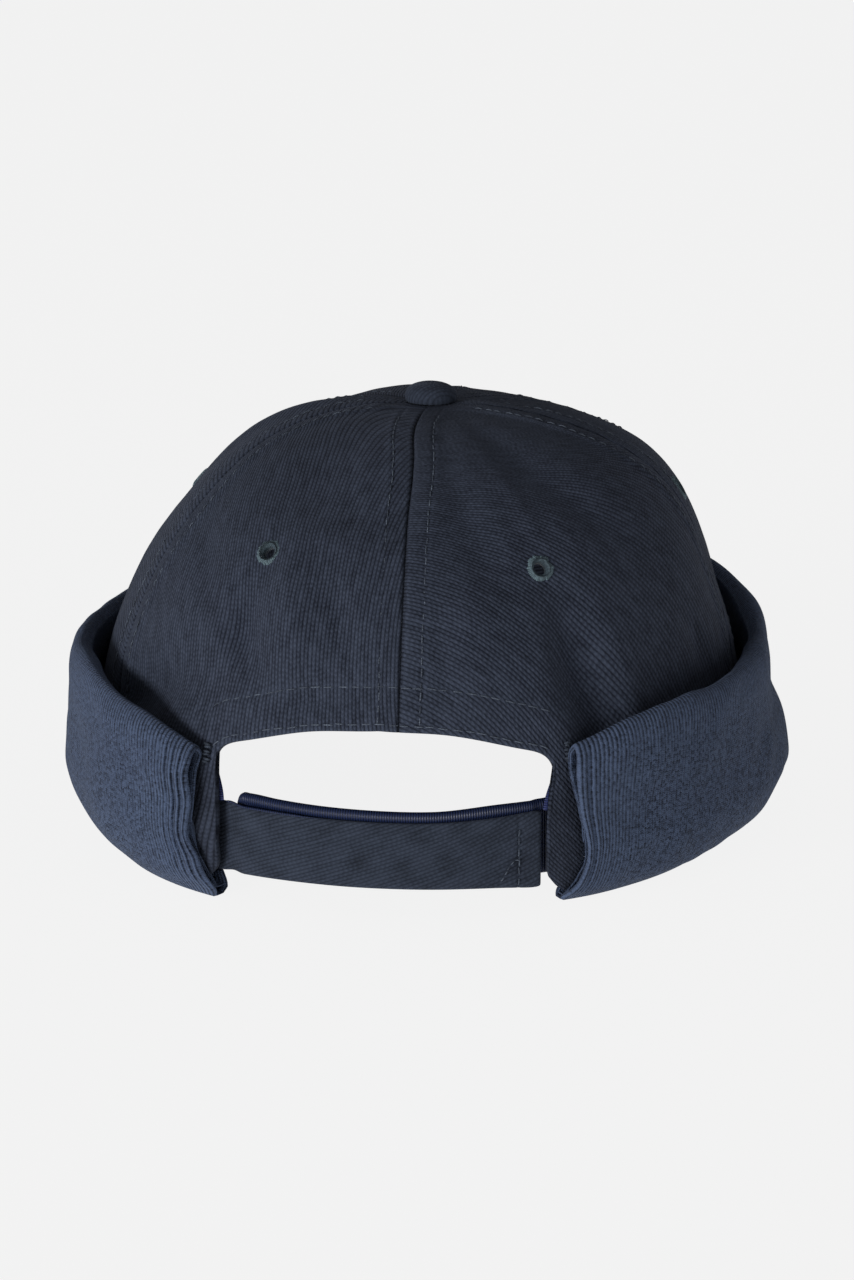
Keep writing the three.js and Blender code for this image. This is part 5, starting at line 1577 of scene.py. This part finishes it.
@dataclass(frozen=True)
class Studio:
    """Camera at the photograph's angle, pale floor and soft lights. Lengths in millimetres."""

    azimuth: float = 5.8
    elevation: float = 15.0
    distance: float = 1060.0
    focal: float = 3900.0
    aim: tuple[float, float, float] = (0.084, -5.042, 47.0)
    backdrop: str = "#f1f1f1"

    def camera(self) -> None:
        """Sets the camera: its back points along (sin a cos e, -cos a cos e, sin e)."""
        a, e = math.radians(self.azimuth), math.radians(self.elevation)
        back = Vector((math.sin(a) * math.cos(e), -math.cos(a) * math.cos(e), math.sin(e)))
        data = bpy.data.cameras.new("camera")
        data.sensor_width = 36.0
        data.lens = self.focal * 36.0 / 1280.0
        data.clip_start, data.clip_end = 0.05, 50.0
        data.dof.use_dof = False
        camera = bpy.data.objects.new("camera", data)
        camera.location = (Vector(self.aim) + back * self.distance) * MM
        camera.rotation_euler = back.to_track_quat("Z", "Y").to_euler()
        bpy.context.scene.collection.objects.link(camera)
        bpy.context.scene.camera = camera

    def light(self, name: str, place: tuple[float, float, float], size: tuple[float, float], watts: float,
              aim: tuple[float, float, float] = (0.0, 0.0, 0.06)) -> None:
        """Adds a soft box aimed at the cap; place, size and aim in metres."""
        data = bpy.data.lights.new(name, "AREA")
        data.shape = "RECTANGLE"
        data.size, data.size_y = size
        data.energy = watts
        lamp = bpy.data.objects.new(name, data)
        lamp.location = place
        lamp.rotation_euler = (Vector(place) - Vector(aim)).to_track_quat("Z", "Y").to_euler()
        bpy.context.scene.collection.objects.link(lamp)

    def floor(self) -> None:
        """Lays a large pale floor that glows a little, so that it stays pale to the horizon and only
        a faint contact shadow shows."""
        mesh = bpy.data.meshes.new("floor")
        reach = 9.0
        corners = [(-reach, -reach, 0), (reach, -reach, 0), (reach, reach, 0), (-reach, reach, 0)]
        mesh.from_pydata(corners, [], [(0, 1, 2, 3)])
        material = bpy.data.materials.new("pale floor")
        material.use_nodes = True
        tree = material.node_tree
        tree.nodes.clear()
        seen = add_node(tree, "ShaderNodeLightPath").outputs["Is Camera Ray"]
        glow = ramp(tree, seen, 0.0, 1.0, 0.86, 0.985)
        shader = add_node(tree, "ShaderNodeBsdfPrincipled", {
            "Base Color": (0.06, 0.06, 0.06, 1), "Roughness": 0.9, "Specular IOR Level": 0.0,
            "Emission Color": linear(self.backdrop), "Emission Strength": glow})
        add_node(tree, "ShaderNodeOutputMaterial", {"Surface": shader.outputs[0]})
        mesh.materials.append(material)
        floor = bpy.data.objects.new("floor", mesh)
        bpy.context.scene.collection.objects.link(floor)

    def build(self) -> None:
        """Builds the studio."""
        scene = bpy.context.scene
        scene.view_settings.view_transform = "Standard"
        self.camera()
        self.floor()
        self.light("key", (-1.14, -1.46, 0.24), (0.7, 0.42), 25.5)
        self.light("fill", (1.33, -1.3, 0.3), (0.9, 0.55), 3.2)
        world = bpy.data.worlds.new("studio")
        scene.world = world
        world.use_nodes = True
        tree = world.node_tree
        tree.nodes.clear()
        seen = add_node(tree, "ShaderNodeLightPath").outputs["Is Camera Ray"]
        strength = ramp(tree, seen, 0.0, 1.0, 0.27, 1.0)
        glow = add_node(tree, "ShaderNodeBackground", {"Color": linear(self.backdrop), "Strength": strength})
        add_node(tree, "ShaderNodeOutputWorld", {"Surface": glow.outputs[0]})


PLACE = CROWN.place()


def main() -> None:
    """Builds the cap piece by piece in its studio."""
    logging.basicConfig(level=logging.INFO, format="%(name)s %(message)s")
    Studio().build()
    twill = CottonTwill(
        "washed cotton twill", groove="#141823", crest="#3d4454", worn="#475061",
        roughness=0.92, sheen=0.1, specular=0.2, bump=0.24).material()
    brushed = CottonTwill(
        "brushed cotton twill", groove="#1c212b", crest="#343b49", worn="#3a4150",
        roughness=0.95, sheen=0.12, specular=0.2, bump=0.16).material()
    knit = RibKnit(
        "cotton rib knit", groove="#070b16", crest="#49566f", worn="#3a435a",
        roughness=0.9, sheen=0.15, specular=0.2, bump=0.6).material()
    webbing = NylonTape(
        "woven nylon closing tape", groove="#060b1a", crest="#1f2c52", worn="#1f2c52",
        roughness=0.42, sheen=0.1, specular=0.38, bump=0.15, pitch=0.68).material()
    ribbon = NylonTape(
        "woven binding tape", groove="#131a3c", crest="#303c74", worn="#303c74",
        roughness=0.5, sheen=0.1, specular=0.4, bump=0.1, pitch=0.6).material()
    thread = SewingThread(
        "spun polyester thread", groove="#27333d", crest="#71878f", worn="#71878f",
        roughness=0.6, sheen=0.15, specular=0.35, bump=0.1).material()
    seam_thread = SewingThread(
        "spun polyester seam thread", groove="#2a303c", crest="#5d6674", worn="#5d6674",
        roughness=0.7, sheen=0.15, specular=0.3, bump=0.1).material()
    tack_thread = SewingThread(
        "spun polyester tack thread", groove="#1c222c", crest="#3f4856", worn="#3f4856",
        roughness=0.75, sheen=0.15, specular=0.3, bump=0.1).material()
    for panel in PANELS:
        PanelCloth(CROWN, panel).build(twill)
        Eyelet(CROWN, panel).build(thread)
    Button(CROWN).build(brushed)
    cuff = Cuff(CROWN)
    cuff.build(knit)
    STRAP_OUTER.build(brushed)
    STRAP_OUTER.backing(webbing)
    STRAP_INNER.build(webbing)
    BindingTape(CROWN).build(ribbon)
    work = Needlework(CROWN)
    work.sew_seams()
    work.sew_arch()
    work.sew_strap(STRAP_OUTER)
    work.cloth.make(Slot.THREAD, seam_thread)
    tacks = Needlework(CROWN, thread=0.34, cloth=Cloth("cuff_tacks"))
    tacks.sew_tacks(cuff)
    tacks.cloth.make(Slot.THREAD, tack_thread, "tack_left", "tack_right")


if __name__ == "__main__":
    main()
